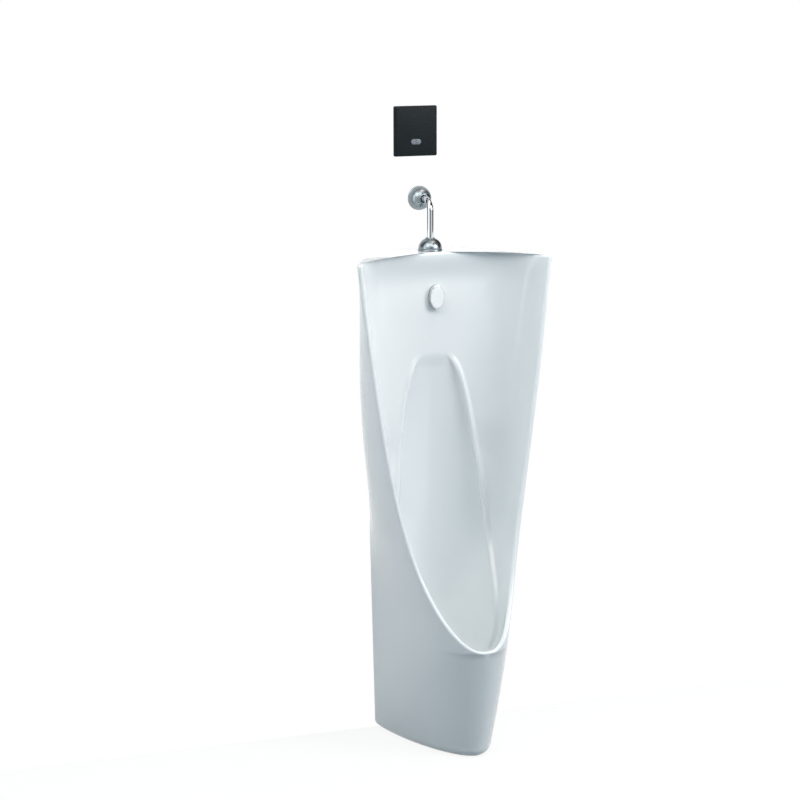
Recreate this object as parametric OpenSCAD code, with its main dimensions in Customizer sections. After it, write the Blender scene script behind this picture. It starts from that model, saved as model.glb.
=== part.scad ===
// Floor standing urinal with top flush pipe, wall sensor plate and in-wall flush valve.
// Frame: z up from the floor, the wall is the plane y = 0, the front faces -y, x = 0 is the centre plane.

/* [Ceramic] */
// height of the ceramic body at the wall
body_height = 1050; // [950:10:1150]
// width of the ceramic body across its front corners
body_width = 444; // [420:2:470]
// depth of the ceramic body from the wall to the lip
body_depth = 354.5; // [340:0.5:380]
// height of the lip above the floor
lip_height = 240; // [236:2:260]
// width of the foot at the wall
foot_width = 212; // [204:2:230]
// depth of the foot from the wall to its nose
foot_depth = 305; // [295:1:320]
// thickness of the ceramic at the rim
rim_thick = 11; // [10:0.5:13]

/* [Flush pipe] */
// outside diameter of the flush pipe
pipe_diameter = 14; // [12:0.5:15]
// distance of the vertical pipe from the wall
inlet_reach = 60; // [56:1:64]
// height of the horizontal pipe above the ceramic
inlet_rise = 107; // [95:1:130]
// diameter of both domed covers
cover_diameter = 52; // [46:1:54]
// height of both domed covers
cover_height = 26; // [22:1:30]

/* [Spreader] */
// width of the oval spreader
spreader_width = 33; // [32:1:44]
// height of the oval spreader
spreader_height = 52; // [44:1:64]

/* [Sensor plate] */
// width of the sensor plate
plate_width = 98.5; // [98:0.5:120]
// height of the sensor plate
plate_height = 106.5; // [106:0.5:130]
// thickness of the sensor plate
plate_thick = 8; // [7:0.5:12]
// distance of the plate centre to the left of the pipe
plate_shift = 9.5; // [8:0.5:14]
// height of the plate centre above the horizontal pipe
plate_rise = 143; // [130:1:180]
// depth of the in-wall box
box_depth = 64; // [63:1:90]
// width of the sensor window
window_width = 23.5; // [23:0.5:28]
// travel of the solenoid plunger
plunger_travel = 2.5; // [1.5:0.1:3]

/* [Waste] */
// diameter of the waste hole in the ceramic
waste_diameter = 52; // [50:0.5:54]
// outside diameter of the trap cup
trap_diameter = 72; // [66:1:74]
// height of the outlet pipe above the floor
outlet_height = 80; // [74:1:84]
// outside diameter of the outlet pipe
outlet_diameter = 40; // [36:1:42]
// spacing of the two wall hooks
hook_spacing = 52; // [46:1:53]

/* [Hidden] */
$fn = 64;
gap = 0.1;          // clearance between round pieces of one body
seal = 1.5;         // thickness of flat seals
rim_flat = 1.5;
rim_r = (rim_thick - rim_flat) / 2;
ear_s = body_depth - 161;
ear_drop = 6.6;
deck_depth = 100;
deck_thick = 18;
foot_round = 18;
drain_s = 165;
floor_z = lip_height - 78;
half_w = body_width / 2;
nb = 4;             // columns across the back of a half section
ns = 22;            // columns along its side
nc = nb + ns;
na = 12;            // columns across half of the recess
bead_w = 8;         // reach of the bead to each side of the recess edge
nlow = 17;          // rows from the lip up to the crown of the recess
arch_z = body_height - 210;
web_z = body_height - 106;      // lower edge of the hanging web
web_s = [3.5, 12.5];
spread_s = 84.6;                // flat seat behind the spreader
spread_z = body_height - 95;
pipe_r = pipe_diameter / 2;
upper_s = inlet_reach + pipe_r + 5;   // front of the upper chamber
pipe_wall = 1;
bend_r = 24.5;
inlet_z = body_height + inlet_rise;
cover_r = cover_diameter / 2;
plate_z = inlet_z + plate_rise;
waste_r = waste_diameter / 2;
chamber_z = floor_z - 20;       // top of the trap chamber
trap_top = chamber_z - 30;
seat_z = floor_z - 1;           // face under the waste flange

function smooth(t) = let(u = min(1, max(0, t))) u * u * (3 - 2 * u);
function mix(a, b, t) = a + (b - a) * t;
// height on the reference body (lip at 240, top at 1050) that matches height z here
function rz(z) = z < lip_height ? z - lip_height + 240
  : 240 + 810 * (z - lip_height) / (body_height - lip_height);
// smooth curve through height stations [[z, value], ...]
function track(z, p, i = 0) =
  z <= p[0][0] ? p[0][1] : i >= len(p) - 1 ? p[len(p) - 1][1] :
  z > p[i + 1][0] ? track(z, p, i + 1) :
  let(a = p[i], b = p[i + 1], h = b[0] - a[0], t = (z - a[0]) / h,
      ma = i == 0 ? 0 : slope(p, i), mb = i + 2 >= len(p) ? 0 : slope(p, i + 1))
  (2 * pow(t, 3) - 3 * t * t + 1) * a[1] + (pow(t, 3) - 2 * t * t + t) * h * ma
  + (3 * t * t - 2 * pow(t, 3)) * b[1] + (pow(t, 3) - t * t) * h * mb;
function slope(p, i) =
  let(d1 = (p[i][1] - p[i - 1][1]) / (p[i][0] - p[i - 1][0]),
      d2 = (p[i + 1][1] - p[i][1]) / (p[i + 1][0] - p[i][0]))
  d1 * d2 <= 0 ? 0 : 2 * d1 * d2 / (d1 + d2);

lip_z = lip_height - rim_r;
top_z = body_height - ear_drop - rim_r;
function q_of(z) = max(0, (z - lip_z) / (top_z - lip_z));
function z_of(q) = mix(lip_z, top_z, q);
// inverse of rz above the lip
function at_rz(r) = lip_height + (r - 240) * (body_height - lip_height) / 810;
// outer end of the rim: half width and distance from the wall
function rim_x(q) = half_w * pow(q, 0.4);
function rim_s(q) = ear_s + 22 * (1 - q) + (body_depth - ear_s - 22) * pow(1 - q, 6);
// outer skin at depth s: side half width, then the rounding towards the nose
function wall_w(z) = z < lip_z + 200 ? mix(foot_width / 2, foot_width / 2 + 11, z / (lip_z + 200))
  : mix(foot_width / 2 + 11, 55, smooth((z - lip_z - 240) / (body_height - lip_z - 240)));
function side_w(z) = pow(pow(foot_width / 2 + 6, 8)
  + pow((1.05 + 0.022 * smooth((z - 430) / 90) * smooth((body_height + 20 - z) / 90)) * rim_x(q_of(z)), 8), 1 / 8);
function side_p(z) = mix(3, 1.15, smooth((z - 600) / (body_height - 600)));
function skin_m(z) = mix(1.35, 3.3, min(1, z / lip_z));
function side(s, z, e) = let(v = min(1, max(0, s / e)))
  mix(wall_w(z), side_w(z), 1 - pow(1 - v, side_p(z)));
function nose_s(z) = mix(foot_depth, body_depth, z / lip_z);
function virtual_s(z) = z <= lip_z ? nose_s(z)
  : let(q = q_of(z), g = rim_x(q) / side_w(z)) rim_s(q) / pow(1 - g * g, 1 / skin_m(z));
function end_s(z) = z <= lip_z ? nose_s(z) : rim_s(q_of(z));
// column i of the half section at height z, [x, s]
function skin(i, z) = i <= nb ? [wall_w(z) * i / nb, 0]
  : let(e = end_s(z), s = e * (1 - pow(1 - (i - nb) / ns, 1.9)),
        u = min(1, s / virtual_s(z)))
    z <= lip_z && i == nc ? [0, e] : [side(s, z, e) * sqrt(max(0, 1 - pow(u, skin_m(z)))), s];
// inner bowl: recess arc, then the wing out to the rim
function arch_x(z) = foot_width / 212 * (rz(z) > 430
  ? 16.8 * pow(max(0.4, min(410, 840 - rz(z))), 0.316)
  : track(rz(z), [[162, 40], [174, 66], [200, 88], [240, 93], [310, 98], [390, 107], [430, 112.4]]));
function arch_s(z) = track(rz(z), [[162, 165], [200, 162], [240, 155], [310, 138], [385, 122], [478, 113],
  [546, 108], [586, 103], [631, 93], [674, 88], [750, 84], [850, 84], [955, 84], [1000, 86], [1048, deck_depth]]);
function back_s(z) = track(rz(z), [[162, 128], [172, 114], [200, 90], [240, 66], [300, 50], [400, 44], [600, 42],
  [750, 46], [792, 62], [818, 75], [838, 82.5], [862, 84.9], [985, 85.4], [1048, deck_depth]]);
// start of the smooth wall that the recess is sunk into
function wall_s(z) = track(rz(z), [[640, 71.5], [700, 72.5], [750, 75.3], [800, 79.9], [830, 82.9], [865, 85], [985, 85.4],
  [1048, deck_depth]]);
// bead along the edge of the recess
function bead_h(z) = 4 * smooth((rz(z) - 215) / 50) * (1 - smooth((rz(z) - 812) / 36));
function front_s(z) = track(rz(z), [[162, 205], [170, 250], [185, 290], [205, 322], [235.25, body_depth - rim_thick]]);
function bez(a, b, c, d, t) = pow(1 - t, 3) * a + 3 * t * pow(1 - t, 2) * b + 3 * t * t * (1 - t) * c + pow(t, 3) * d;
// outer skin at depth s and its outward direction
function skin_at(s, z) = [side(s, z, end_s(z)) * sqrt(max(0, 1 - pow(min(1, s / virtual_s(z)), skin_m(z)))), s];
function skin_dir(s, z) = let(d = unit(skin_at(s + 0.5, z) - skin_at(s - 0.5, z))) [d[1], -d[0]];
// wing as an inward offset of the outer skin, its ends pulled onto g and e
function shell(g, e, z, t) =
  let(s1 = z <= lip_z ? nose_s(z) : end_s(z), k = g[1] + (s1 - g[1]) * (1 - pow(1 - t, 1.6)),
      wa = skin_at(g[1], z)[0] - g[0], wb = z <= lip_z ? s1 - e[1] : rim_thick,
      a = skin_at(g[1], z) - skin_dir(g[1], z) * wa,
      n1 = z <= lip_z ? [0, 1] : skin_dir(s1 - 0.5, z),
      b = (z <= lip_z ? [0, s1] : skin_at(s1, z)) - n1 * wb,
      n = k > s1 - 0.5 ? n1 : skin_dir(k, z), p = k > s1 - 0.01 && z <= lip_z ? [0, s1] : skin_at(k, z))
  p - n * mix(wa, wb, t) + (1 - t) * (g - a) + t * (e - b);
// share of a Bezier curve at which its first coordinate is x
function share_at(x, a, b, c, d, lo = 0, hi = 1, n = 18) = let(m = (lo + hi) / 2)
  n == 0 ? m : bez(a, b, c, d, m)[0] < x ? share_at(x, a, b, c, d, m, hi, n - 1) : share_at(x, a, b, c, d, lo, m, n - 1);
// place u on the section: 0 in the middle, 1 at the edge of the recess, 2 at the rim
function wing_at(t, z, e, h, g, q, tg, low) =
  let(go = [arch_x(z), arch_s(z)], eta = mix(2, 90, smooth((650 - rz(z)) / 320)), l = 0.4 * norm(e - go),
      off = smooth((rz(z) - 190) / 30) * smooth((470 - rz(z)) / 90),
      up = low == 1 ? g : bez(q[0], q[1], q[2], e, mix(tg, 1, t)),
      old = low == 0 ? g : bez(go, go + l * [cos(eta), sin(eta)], e - l * h, e, t),
      dn = off == 0 ? old : mix(old, shell(go, e, z, t), off))
  mix(up, dn, low);
function bowl_at(u, z, e, h, g, q, tg, low) = u > 1 ? wing_at(u - 1, z, e, h, g, q, tg, low)
  : [g[0] * sin(90 * u), g[1] - (g[1] - back_s(z)) * cos(90 * u)];
function bowl(i, z, e, dir) =
  let(low = smooth((700 - rz(z)) / 140), h = [cos(dir), sin(dir)], p0 = [0, wall_s(z)], lp = 0.4 * norm(e - p0),
      q = [p0, p0 + [lp, 0], e - lp * h], tg = low == 1 ? 0 : share_at(arch_x(z), q[0], q[1], q[2], e),
      go = [arch_x(z), arch_s(z)], g = low == 1 ? go : mix(bez(q[0], q[1], q[2], e, tg), go, low),
      la = norm([g[0], g[1] - back_s(z)]), lw = norm(e - g), d = min(bead_w, 0.45 * la), a = d / la, w = d / lw,
      u = i <= na - 2 ? (1 - a) * i / (na - 2) : i == na - 1 ? 1 - 0.5 * a : i == na ? 1 : i == na + 1 ? 1 + 0.5 * w
        : 1 + w + (1 - w) * pow((i - na - 2) / (nc - na - 2), 1.15),
      c = unit(bowl_at(1 + 2 * w, z, e, h, g, q, tg, low) - g),
      k = abs(i - na) > 1 ? 0 : i == na ? 0.8 : 0.75)
  bowl_at(u, z, e, h, g, q, tg, low) + k * bead_h(z) * [-c[1], c[0]];

lift_at = 105;
function lift(s, z) = ear_drop * (1 - smooth((s - lift_at) / (ear_s - lift_at))) * smooth((z - top_z + 150) / 150);
function p3(p, z) = [p[0], -p[1], z + lift(p[1], z)];
function unit(v) = v / norm(v);

// rows above the lip: closer at the lip and at the crown of the recess
crown = [760, 784, 803, 818, 828, 835, 841, 856, 880, 910, 945, 980, 1015];
zs = concat([for (j = [0:nlow]) mix(lip_z, at_rz(crown[0]), pow(j / nlow, 1.9))],
            [for (k = [1:len(crown) - 1]) at_rz(crown[k])], [top_z]);
nrow = len(zs) - 1;
// outward direction and end of the outer skin for each row
ends = [for (j = [0:nrow]) let(a = skin(nc, zs[j]), b = skin(nc - 1, zs[j]), d = unit(a - b))
  [a, j == 0 ? [0, 1] : [d[1], -d[0]], d]];
ctr = [for (j = [0:nrow]) let(e = ends[j]) p3(e[0] - e[1] * rim_r, zs[j])];
rim_frame = [for (j = [0:nrow]) let(n = [ends[j][1][0], -ends[j][1][1], 0],
  t = j == 0 ? [1, 0, 0] : unit(ctr[min(nrow, j + 1)] - ctr[j - 1]),
  b = unit(cross(n, t))) [ctr[j], n, b]];
th = [0, 30, 60, 90, 90, 90, 120, 150, 180];
fl = [0, 0, 0, 0, 0.5, 1, 1, 1, 1];
function rim_pt(f, m, up = 0) = let(b = up == 0 ? f[2] : unit(f[2] * cos(up) + [0, 0, 1] * sin(up)))
  f[0] - f[1] * rim_flat * fl[m] + rim_r * (cos(th[m]) * f[1] + sin(th[m]) * b);
function inner_end(j) = let(p = rim_pt(rim_frame[j], 8)) [p[0], -p[1]];
function inner_dir(j) = let(d = ends[j][2]) j == 0 ? 180 : atan2(d[1], d[0]) - 24 * smooth((zs[j] - 400) / 300);
function mirror_x(p) = [-p[0], p[1], p[2]];

// rows above the lip: outer skin right to left is index 0..2nc, then left rim, inner, right rim
function ring(j) = let(z = zs[j],
  o = [for (i = [0:nc]) p3(skin(i, z), z)],
  r = [for (m = [1:7]) rim_pt(rim_frame[j], m)],
  n = [for (i = [0:nc]) p3(bowl(i, z, inner_end(j), inner_dir(j)), z)])
  concat([for (i = [nc:-1:0]) o[i]], [for (i = [1:nc]) mirror_x(o[i])],
         [for (p = r) mirror_x(p)],
         [for (i = [nc:-1:0]) mirror_x(n[i])], [for (i = [1:nc]) n[i]],
         [for (m = [6:-1:0]) r[m]]);
nr = 2 * (2 * nc + 1) + 14;
upper = [for (j = [0:nrow]) each ring(j)];
function strip(a, b, c, d, flip = false) = flip ? [[a, c, b], [b, c, d]] : [[a, b, c], [b, d, c]];
upper_faces = [for (j = [0:nrow - 1], i = [0:nr - 1])
  let(a = j * nr + i, b = j * nr + (i + 1) % nr) each strip(a, b, a + nr, b + nr, true)];

// deck: nine points across each of the 2nc+1 columns of the top row
function side_n(i) = // outward direction of the outer skin on the top row
  let(a = skin(max(nb, i - 1), zs[nrow]), b = skin(min(nc, i + 1), zs[nrow]), d = unit(b - a))
  i < nb ? [0, -1] : i == nb ? unit([d[1], -d[0]] + [0, -1]) : i == nc ? ends[nrow][1] : [d[1], -d[0]];
function bowl_n(i) =
  let(z = zs[nrow], e = inner_end(nrow), k = inner_dir(nrow), a = bowl(max(0, i - 1), z, e, k),
      b = bowl(min(nc, i + 1), z, e, k), d = unit(b - a))
  i == 0 ? [0, 1] : i == nc ? -ends[nrow][1] : [-d[1], d[0]];
function deck_pt(i, m) = let(z = zs[nrow], o = skin(i, z), e = inner_end(nrow), k = inner_dir(nrow),
  n = bowl(i, z, e, k), no = side_n(i), ni = bowl_n(i),
  co = o - no * rim_r, ci = n - ni * rim_r, c = mix(co, ci, m <= 4 ? fl[m] : fl[m]),
  w = m < 4 ? no * cos(th[m]) : m == 4 ? [0, 0] : ni * -cos(th[m]))
  let(p = c + rim_r * w, zz = z + rim_r * sin(th[m])) [p[0], -p[1], zz + lift(c[1], z)];
deck = [for (m = [1:7]) each concat([for (i = [nc:-1:0]) deck_pt(i, m)], [for (i = [1:nc]) mirror_x(deck_pt(i, m))])];
nd = 2 * nc + 1;
d0 = (nrow + 1) * nr;
top0 = nrow * nr;
// index of deck point: column c (right to left), m 0..8
function di(c, m) = m == 0 ? top0 + c : m == 8 ? top0 + nd + 7 + nd - 1 - c : d0 + (m - 1) * nd + c;
deck_faces = [for (m = [0:7], c = [0:nd - 2]) each strip(di(c, m), di(c + 1, m), di(c, m + 1), di(c + 1, m + 1), true)];
// corner patches between the rim strip and the deck
patch = [for (sx = [1, -1], up = [30, 60], m = [1:7]) let(p = rim_pt(rim_frame[nrow], m, up)) [sx * p[0], p[1], p[2]]];
pp0 = d0 + 7 * nd;
// right side: rim strip of the top row runs from inner end back to outer end
function pi_r(f, m) = m == 0 ? top0 : m == 8 ? top0 + nd + 7 + nd - 1
  : f == 0 ? top0 + nr - m : f == 3 ? di(0, m) : pp0 + (f - 1) * 7 + m - 1;
function pi_l(f, m) = m == 0 ? top0 + nd - 1 : m == 8 ? top0 + nd + 7
  : f == 0 ? top0 + nd - 1 + m : f == 3 ? di(nd - 1, m) : pp0 + 14 + (f - 1) * 7 + m - 1;
function tri_ok(t) = t[0] != t[1] && t[1] != t[2] && t[0] != t[2];
patch_faces = concat(
  [for (f = [0:2], m = [0:7], t = strip(pi_r(f, m), pi_r(f, m + 1), pi_r(f + 1, m), pi_r(f + 1, m + 1))) if (tri_ok(t)) t],
  [for (f = [0:2], m = [0:7], t = strip(pi_l(f, m), pi_l(f, m + 1), pi_l(f + 1, m), pi_l(f + 1, m + 1), true)) if (tri_ok(t)) t]);

// rows below the lip: closed loops of 2nc points
low_z = concat([0, 2.4, 9, foot_round], [for (k = [0.2, 0.354, 0.52, 0.688, 0.854]) lip_height * k]);
function inset(z) = z >= foot_round ? 0 : foot_round - sqrt(foot_round * foot_round - pow(foot_round - z, 2));
function low_pt(i, z) = let(zz = max(z, foot_round), d = inset(z), p = skin(i, zz),
  a = skin(max(0, i - 1), zz), b = skin(min(nc, i + 1), zz), t = unit(b - a), n = i <= nb ? [0, 0] : i == nc ? [0, 1] : [t[1], -t[0]],
  k = i <= nb ? [(wall_w(zz) - d) * i / nb, 0] : p - n * d) [max(0, k[0]), -max(0, k[1]), z];
low = [for (z = low_z) each concat([for (i = [nc:-1:0]) low_pt(i, z)], [for (i = [1:nc - 1]) mirror_x(low_pt(i, z))])];
nl = 2 * nc;
l0 = pp0 + 28;
function li(j, c) = j == len(low_z) ? (c % nl == 0 ? 0 : c % nl) : l0 + j * nl + (c % nl);
low_faces = [for (j = [0:len(low_z) - 1], c = [0:nl - 1])
  each strip(li(j, c), li(j, c + 1), li(j + 1, c),
             j + 1 == len(low_z) && c == nl - 1 ? nd - 1 : li(j + 1, c + 1), true)];
foot_face = [[for (c = [0:nl - 1]) l0 + c]];
// sump rows, from just under the lip down to the floor
sump_z = [for (d = [15, 30, 45, 60, 70, 78]) lip_height - d];
function sump_pt(i, z) = p3(bowl(i, z, [0, front_s(z)], 180), z);
sump = [for (z = sump_z) each concat([for (i = [nc:-1:0]) sump_pt(i, z)], [for (i = [1:nc - 1]) mirror_x(sump_pt(i, z))])];
s0 = l0 + len(low_z) * nl;
inner0 = nd + 7 + nd - 1; // index of the inner right end on row 0
function si(j, c) = j == 0 ? (c == nl ? nd + 7 : inner0 - c) : s0 + (j - 1) * nl + (c % nl);
sump_faces = [for (j = [0:len(sump_z) - 1], c = [0:nl - 1])
  each strip(si(j, c), si(j, c + 1), si(j + 1, c), si(j + 1, c + 1), true)];
centre = s0 + len(sump_z) * nl;
floor_faces = [for (c = [0:nl - 1]) [si(len(sump_z), c), centre, si(len(sump_z), c + 1)]];

points = concat(upper, deck, patch, low, sump, [[0, -drain_s, floor_z - 2]]);
faces = concat(upper_faces, deck_faces, patch_faces, low_faces, foot_face, sump_faces, floor_faces);

// ---- helpers ----
module along_y(s) translate([0, -s, 0]) rotate([90, 0, 0]) children();  // child z runs to the front
module ring(r1, r0, h) difference() {
  cylinder(r = r1, h = h);
  translate([0, 0, -1]) cylinder(r = r0, h = h + 2);
}
module block(x0, x1, y0, y1, z0, z1) translate([x0, y0, z0]) cube([x1 - x0, y1 - y0, z1 - z0]);
module hex_nut(r, r0, h) difference() {
  cylinder(r = r, h = h, $fn = 6);
  translate([0, 0, -1]) cylinder(r = r0, h = h + 2);
}
function oval(w, h, n = 72) = [for (i = [0:n - 1]) [w / 2 * cos(360 * i / n), h / 2 * sin(360 * i / n)]];

// ---- ceramic ----
chamber_w = foot_width / 2 - 34;
module ceramic_body() {
  color("white")
  difference() {
    polyhedron(points, faces, convexity = 10);
    // rear chamber, open to the wall
    rotate([90, 0, 0]) translate([0, 0, -1]) linear_extrude(31)
      polygon([[-chamber_w, -1], [chamber_w, -1], [chamber_w + 14, 200], [chamber_w + 14, z_of(0.4)],
               [66, z_of(0.64)], [46, web_z], [-46, web_z], [-66, z_of(0.64)],
               [-chamber_w - 14, z_of(0.4)], [-chamber_w - 14, 200]]);
    // upper chamber in front of the hanging web, and the slot behind the web
    block(-38, 38, -upper_s, -web_s[1], web_z - 74, body_height - deck_thick);
    block(-38, 38, -web_s[0], 1, web_z - 4, body_height - deck_thick);
    // trap chamber
    translate([0, 0, -1]) linear_extrude(chamber_z + 1)
      polygon([[-chamber_w, 1], [chamber_w, 1], [chamber_w - 4, -68], [chamber_w - 14, -127], [44, -182],
               [28, -230], [12, -262], [-12, -262], [-28, -230], [-44, -182], [14 - chamber_w, -127],
               [4 - chamber_w, -68]]);
    // waste hole with its flat seat
    translate([0, -drain_s, chamber_z - 1]) cylinder(r = waste_r, h = 40);
    translate([0, -drain_s, seat_z]) cylinder(r = waste_r + 11, h = 14);
    // flush pipe hole and spreader hole with its flat seat
    translate([0, -inlet_reach, body_height - deck_thick - 1]) cylinder(r = pipe_r + 3, h = deck_thick + 2);
    translate([0, 0, spread_z]) along_y(upper_s - 1) cylinder(r = 9.5, h = 40);
    translate([0, 0, spread_z]) along_y(spread_s) cylinder(r = 15, h = 30);
  }
}

// ---- wall hooks ----
hook_w = 22;
module at_hooks() for (x = [-1, 1]) translate([x * hook_spacing / 2, 0, web_z]) children();
hook_hole_z = [-19, -49];
module wall_hooks() {
  color("silver")
  at_hooks() difference() {
    union() {
      block(-hook_w / 2, hook_w / 2, -3, 0, -62, 20);
      block(-hook_w / 2, hook_w / 2, -15.5, -2, -3, 0);
      block(-hook_w / 2, hook_w / 2, -15.5, -12.8, -1, 14);
    }
    for (z = hook_hole_z) translate([0, 1, z]) rotate([90, 0, 0]) cylinder(r = 3, h = 6);
  }
}
module hook_screws() {
  color("gray")
  at_hooks() for (z = hook_hole_z) translate([0, 0, z]) {
    along_y(3) ring(5.5, 2, 3);
    along_y(3) cylinder(r = 3.2, h = 1.6);
    along_y(-38) cylinder(r = 2.9, h = 37.7);
    along_y(-0.5) cylinder(r = 2.7, h = 4);
  }
}

// ---- flush pipe and covers ----
module pipe_path(r) {
  translate([0, 0, inlet_z]) along_y(-30) cylinder(r = r, h = 30 + inlet_reach - bend_r);
  translate([0, -inlet_reach + bend_r, inlet_z - bend_r]) rotate([0, 0, -90]) rotate([90, 0, 0])
    rotate_extrude(angle = 90) translate([bend_r, 0]) circle(r = r);
  translate([0, -inlet_reach, body_height - 50]) cylinder(r = r, h = inlet_rise + 50 - bend_r);
}
module inlet_bend() {
  color("silver")
  difference() {
    pipe_path(pipe_r);
    pipe_path(pipe_r - pipe_wall);
    translate([0, 0, inlet_z]) along_y(-31) cylinder(r = pipe_r - pipe_wall, h = 5);
    translate([0, -inlet_reach, body_height - 51]) cylinder(r = pipe_r - pipe_wall, h = 5);
  }
}
// dome with an open tip and an inner guide that grips the pipe
dome_open = 10;
module cover_shape() {
  k = sqrt(1 - pow(dome_open / cover_r, 2));
  h = (cover_height - 4) / k;
  n = 16;
  a = acos(dome_open / cover_r);
  outer = [for (i = [0:n]) [cover_r * cos(a * i / n), 4 + h * sin(a * i / n)]];
  inner = [for (i = [n:-1:0]) let(p = outer[i]) [p[0] - 1.2 * cos(a * i / n) - (i == n ? 0.6 : 0), p[1] - 1.2 * sin(a * i / n)]];
  rotate_extrude() polygon(concat([[cover_r - 1.2, 0], [cover_r, 0]], outer, inner));
  translate([0, 0, 4]) ring(cover_r - 1.2 + 0.05, pipe_r + 0.06, 3);
}
module bell_cover() {
  color("silver")
  translate([0, -inlet_reach, body_height]) cover_shape();
}
module wall_cover() {
  color("silver")
  translate([0, 0, inlet_z]) along_y(0) cover_shape();
}
module inlet_grommet() {
  color("dimgray")
  translate([0, -inlet_reach, body_height]) difference() {
    union() {
      cylinder(r = pipe_r + 10, h = 2.5);
      translate([0, 0, -deck_thick]) cylinder(r = pipe_r + 3 - gap, h = deck_thick + 1);
    }
    translate([0, 0, -deck_thick - 1]) cylinder(r = pipe_r + 0.05, h = deck_thick + 5);
  }
}

// ---- feed body behind the bowl, and the spreader ----
feed_top = body_height - 40;
module feed_body() {
  color("goldenrod")
  difference() {
    union() {
      translate([0, -inlet_reach, spread_z - 14]) cylinder(r = pipe_r + 3.4, h = feed_top - spread_z + 14);
      translate([0, 0, spread_z]) along_y(inlet_reach) cylinder(r = 9, h = spread_s + 10.4 - inlet_reach);
      translate([0, 0, spread_z]) along_y(upper_s - 4) cylinder(r = 15, h = 2.5);
    }
    translate([0, -inlet_reach, body_height - 50 - gap]) cylinder(r = pipe_r + gap, h = 60);
    translate([0, -inlet_reach, spread_z]) cylinder(r = 4.5, h = 60);
    translate([0, -inlet_reach, spread_z]) rotate([90, 0, 0]) cylinder(r = 4.5, h = 60);
    translate([0, -inlet_reach, feed_top - 6]) cylinder(r = pipe_r + 2, h = 2.4);
  }
}
module feed_ring() {
  color("dimgray")
  translate([0, -inlet_reach, feed_top - 5.9]) ring(pipe_r + 1.9, pipe_r + 0.05, 2.2);
}
module feed_washer() {
  color("dimgray")
  translate([0, 0, spread_z]) along_y(upper_s - 1.5) ring(15, 9.1, 1.5);
}
module spreader_washer() {
  color("dimgray")
  translate([0, 0, spread_z]) along_y(spread_s) ring(13, 9.1, 2);
}
module spreader_nut() {
  color("goldenrod")
  translate([0, 0, spread_z]) along_y(spread_s + 2) hex_nut(13.8, 9.1, 4.4);
}
module spreader_cup() {
  color("silver")
  translate([0, 0, spread_z]) along_y(spread_s + 2) difference() {
    linear_extrude(10.6) polygon(oval(spreader_width, spreader_height));
    translate([0, 0, -1]) linear_extrude(5.6) polygon(oval(spreader_width - 4, spreader_height - 4));
    translate([0, 0, 3]) cylinder(r = 9.1, h = 6.2);
    for (a = [-35, 0, 35]) rotate([0, 0, a]) translate([0, 0, 7.9]) rotate([90, 0, 0]) cylinder(r = 1.2, h = spreader_height);
  }
}
module spreader_face() {
  color("white")
  translate([0, 0, spread_z]) along_y(spread_s + 12.6) linear_extrude(1) polygon(oval(spreader_width - 3, spreader_height - 4));
}

// ---- connection inside the wall ----
elbow_y = 42;
module wall_elbow() {
  color("goldenrod")
  difference() {
    union() {
      translate([0, 0, inlet_z]) along_y(-elbow_y) cylinder(r = pipe_r + 3, h = elbow_y - 12);
      translate([0, elbow_y, inlet_z]) sphere(r = pipe_r + 3);
      translate([0, elbow_y, inlet_z]) cylinder(r = pipe_r + 3, h = 30);
      translate([-8, elbow_y, inlet_z - 14]) cube([16, 14, 28]);
    }
    translate([0, 0, inlet_z]) along_y(-30 - gap) cylinder(r = pipe_r + gap, h = 30);
    translate([0, 0, inlet_z]) along_y(-elbow_y) cylinder(r = pipe_r - 1, h = 20);
    translate([0, elbow_y, inlet_z]) cylinder(r = pipe_r - 1, h = 40);
    translate([0, elbow_y, inlet_z + 14]) cylinder(r = pipe_r + gap, h = 20);
  }
}
module elbow_olive() {
  color("orange")
  translate([0, 0, inlet_z]) along_y(-12) ring(pipe_r + 2, pipe_r + 0.05, 5);
}
module elbow_nut() {
  color("goldenrod")
  translate([0, 0, inlet_z]) difference() {
    along_y(-22) cylinder(r = pipe_r + 6.5, h = 18, $fn = 6);
    along_y(-23) cylinder(r = pipe_r + 3 + gap, h = 11 + 0.0);
    along_y(-13) cylinder(r = pipe_r + 2 + gap, h = 6);
    along_y(-8) cylinder(r = pipe_r + gap, h = 6);
  }
}
valve_y = elbow_y;
valve_z = plate_z - 24;     // height of the diaphragm axis
stop_z = plate_z + 18;      // height of the stop valve
riser_z0 = inlet_z + 14;
riser_z1 = plate_z - 30;
module riser_pipe() {
  color("orange")
  translate([0, valve_y, riser_z0]) ring(pipe_r, pipe_r - 1, riser_z1 - riser_z0);
}

// ---- in-wall box and frame ----
px = -plate_shift;
box_w = 88;
box_h = 96;
box_t = 2.5;
module box_bosses() for (x = [-1, 1], z = [-1, 1])
  translate([px + x * (box_w / 2 - 6), 0, plate_z + z * (box_h / 2 - 6)]) children();
module rough_in_box() {
  color("steelblue")
  difference() {
    union() {
      difference() {
        block(px - box_w / 2, px + box_w / 2, 0, box_depth, plate_z - box_h / 2, plate_z + box_h / 2);
        block(px - box_w / 2 + box_t, px + box_w / 2 - box_t, -1, box_depth - box_t,
              plate_z - box_h / 2 + box_t, plate_z + box_h / 2 - box_t);
      }
      box_bosses() block(-4.5, 4.5, 0, 16, -4.5, 4.5);
    }
    box_bosses() translate([0, 14, 0]) rotate([90, 0, 0]) cylinder(r = 1.6, h = 20);
    translate([0, valve_y, plate_z - box_h / 2 - 1]) cylinder(r = pipe_r + gap, h = 8);
    translate([0, valve_y, plate_z + box_h / 2 - 5]) cylinder(r = 8 + gap, h = 8);
  }
}
frame_w = plate_width - 9;
frame_h = plate_height - 9;
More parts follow.
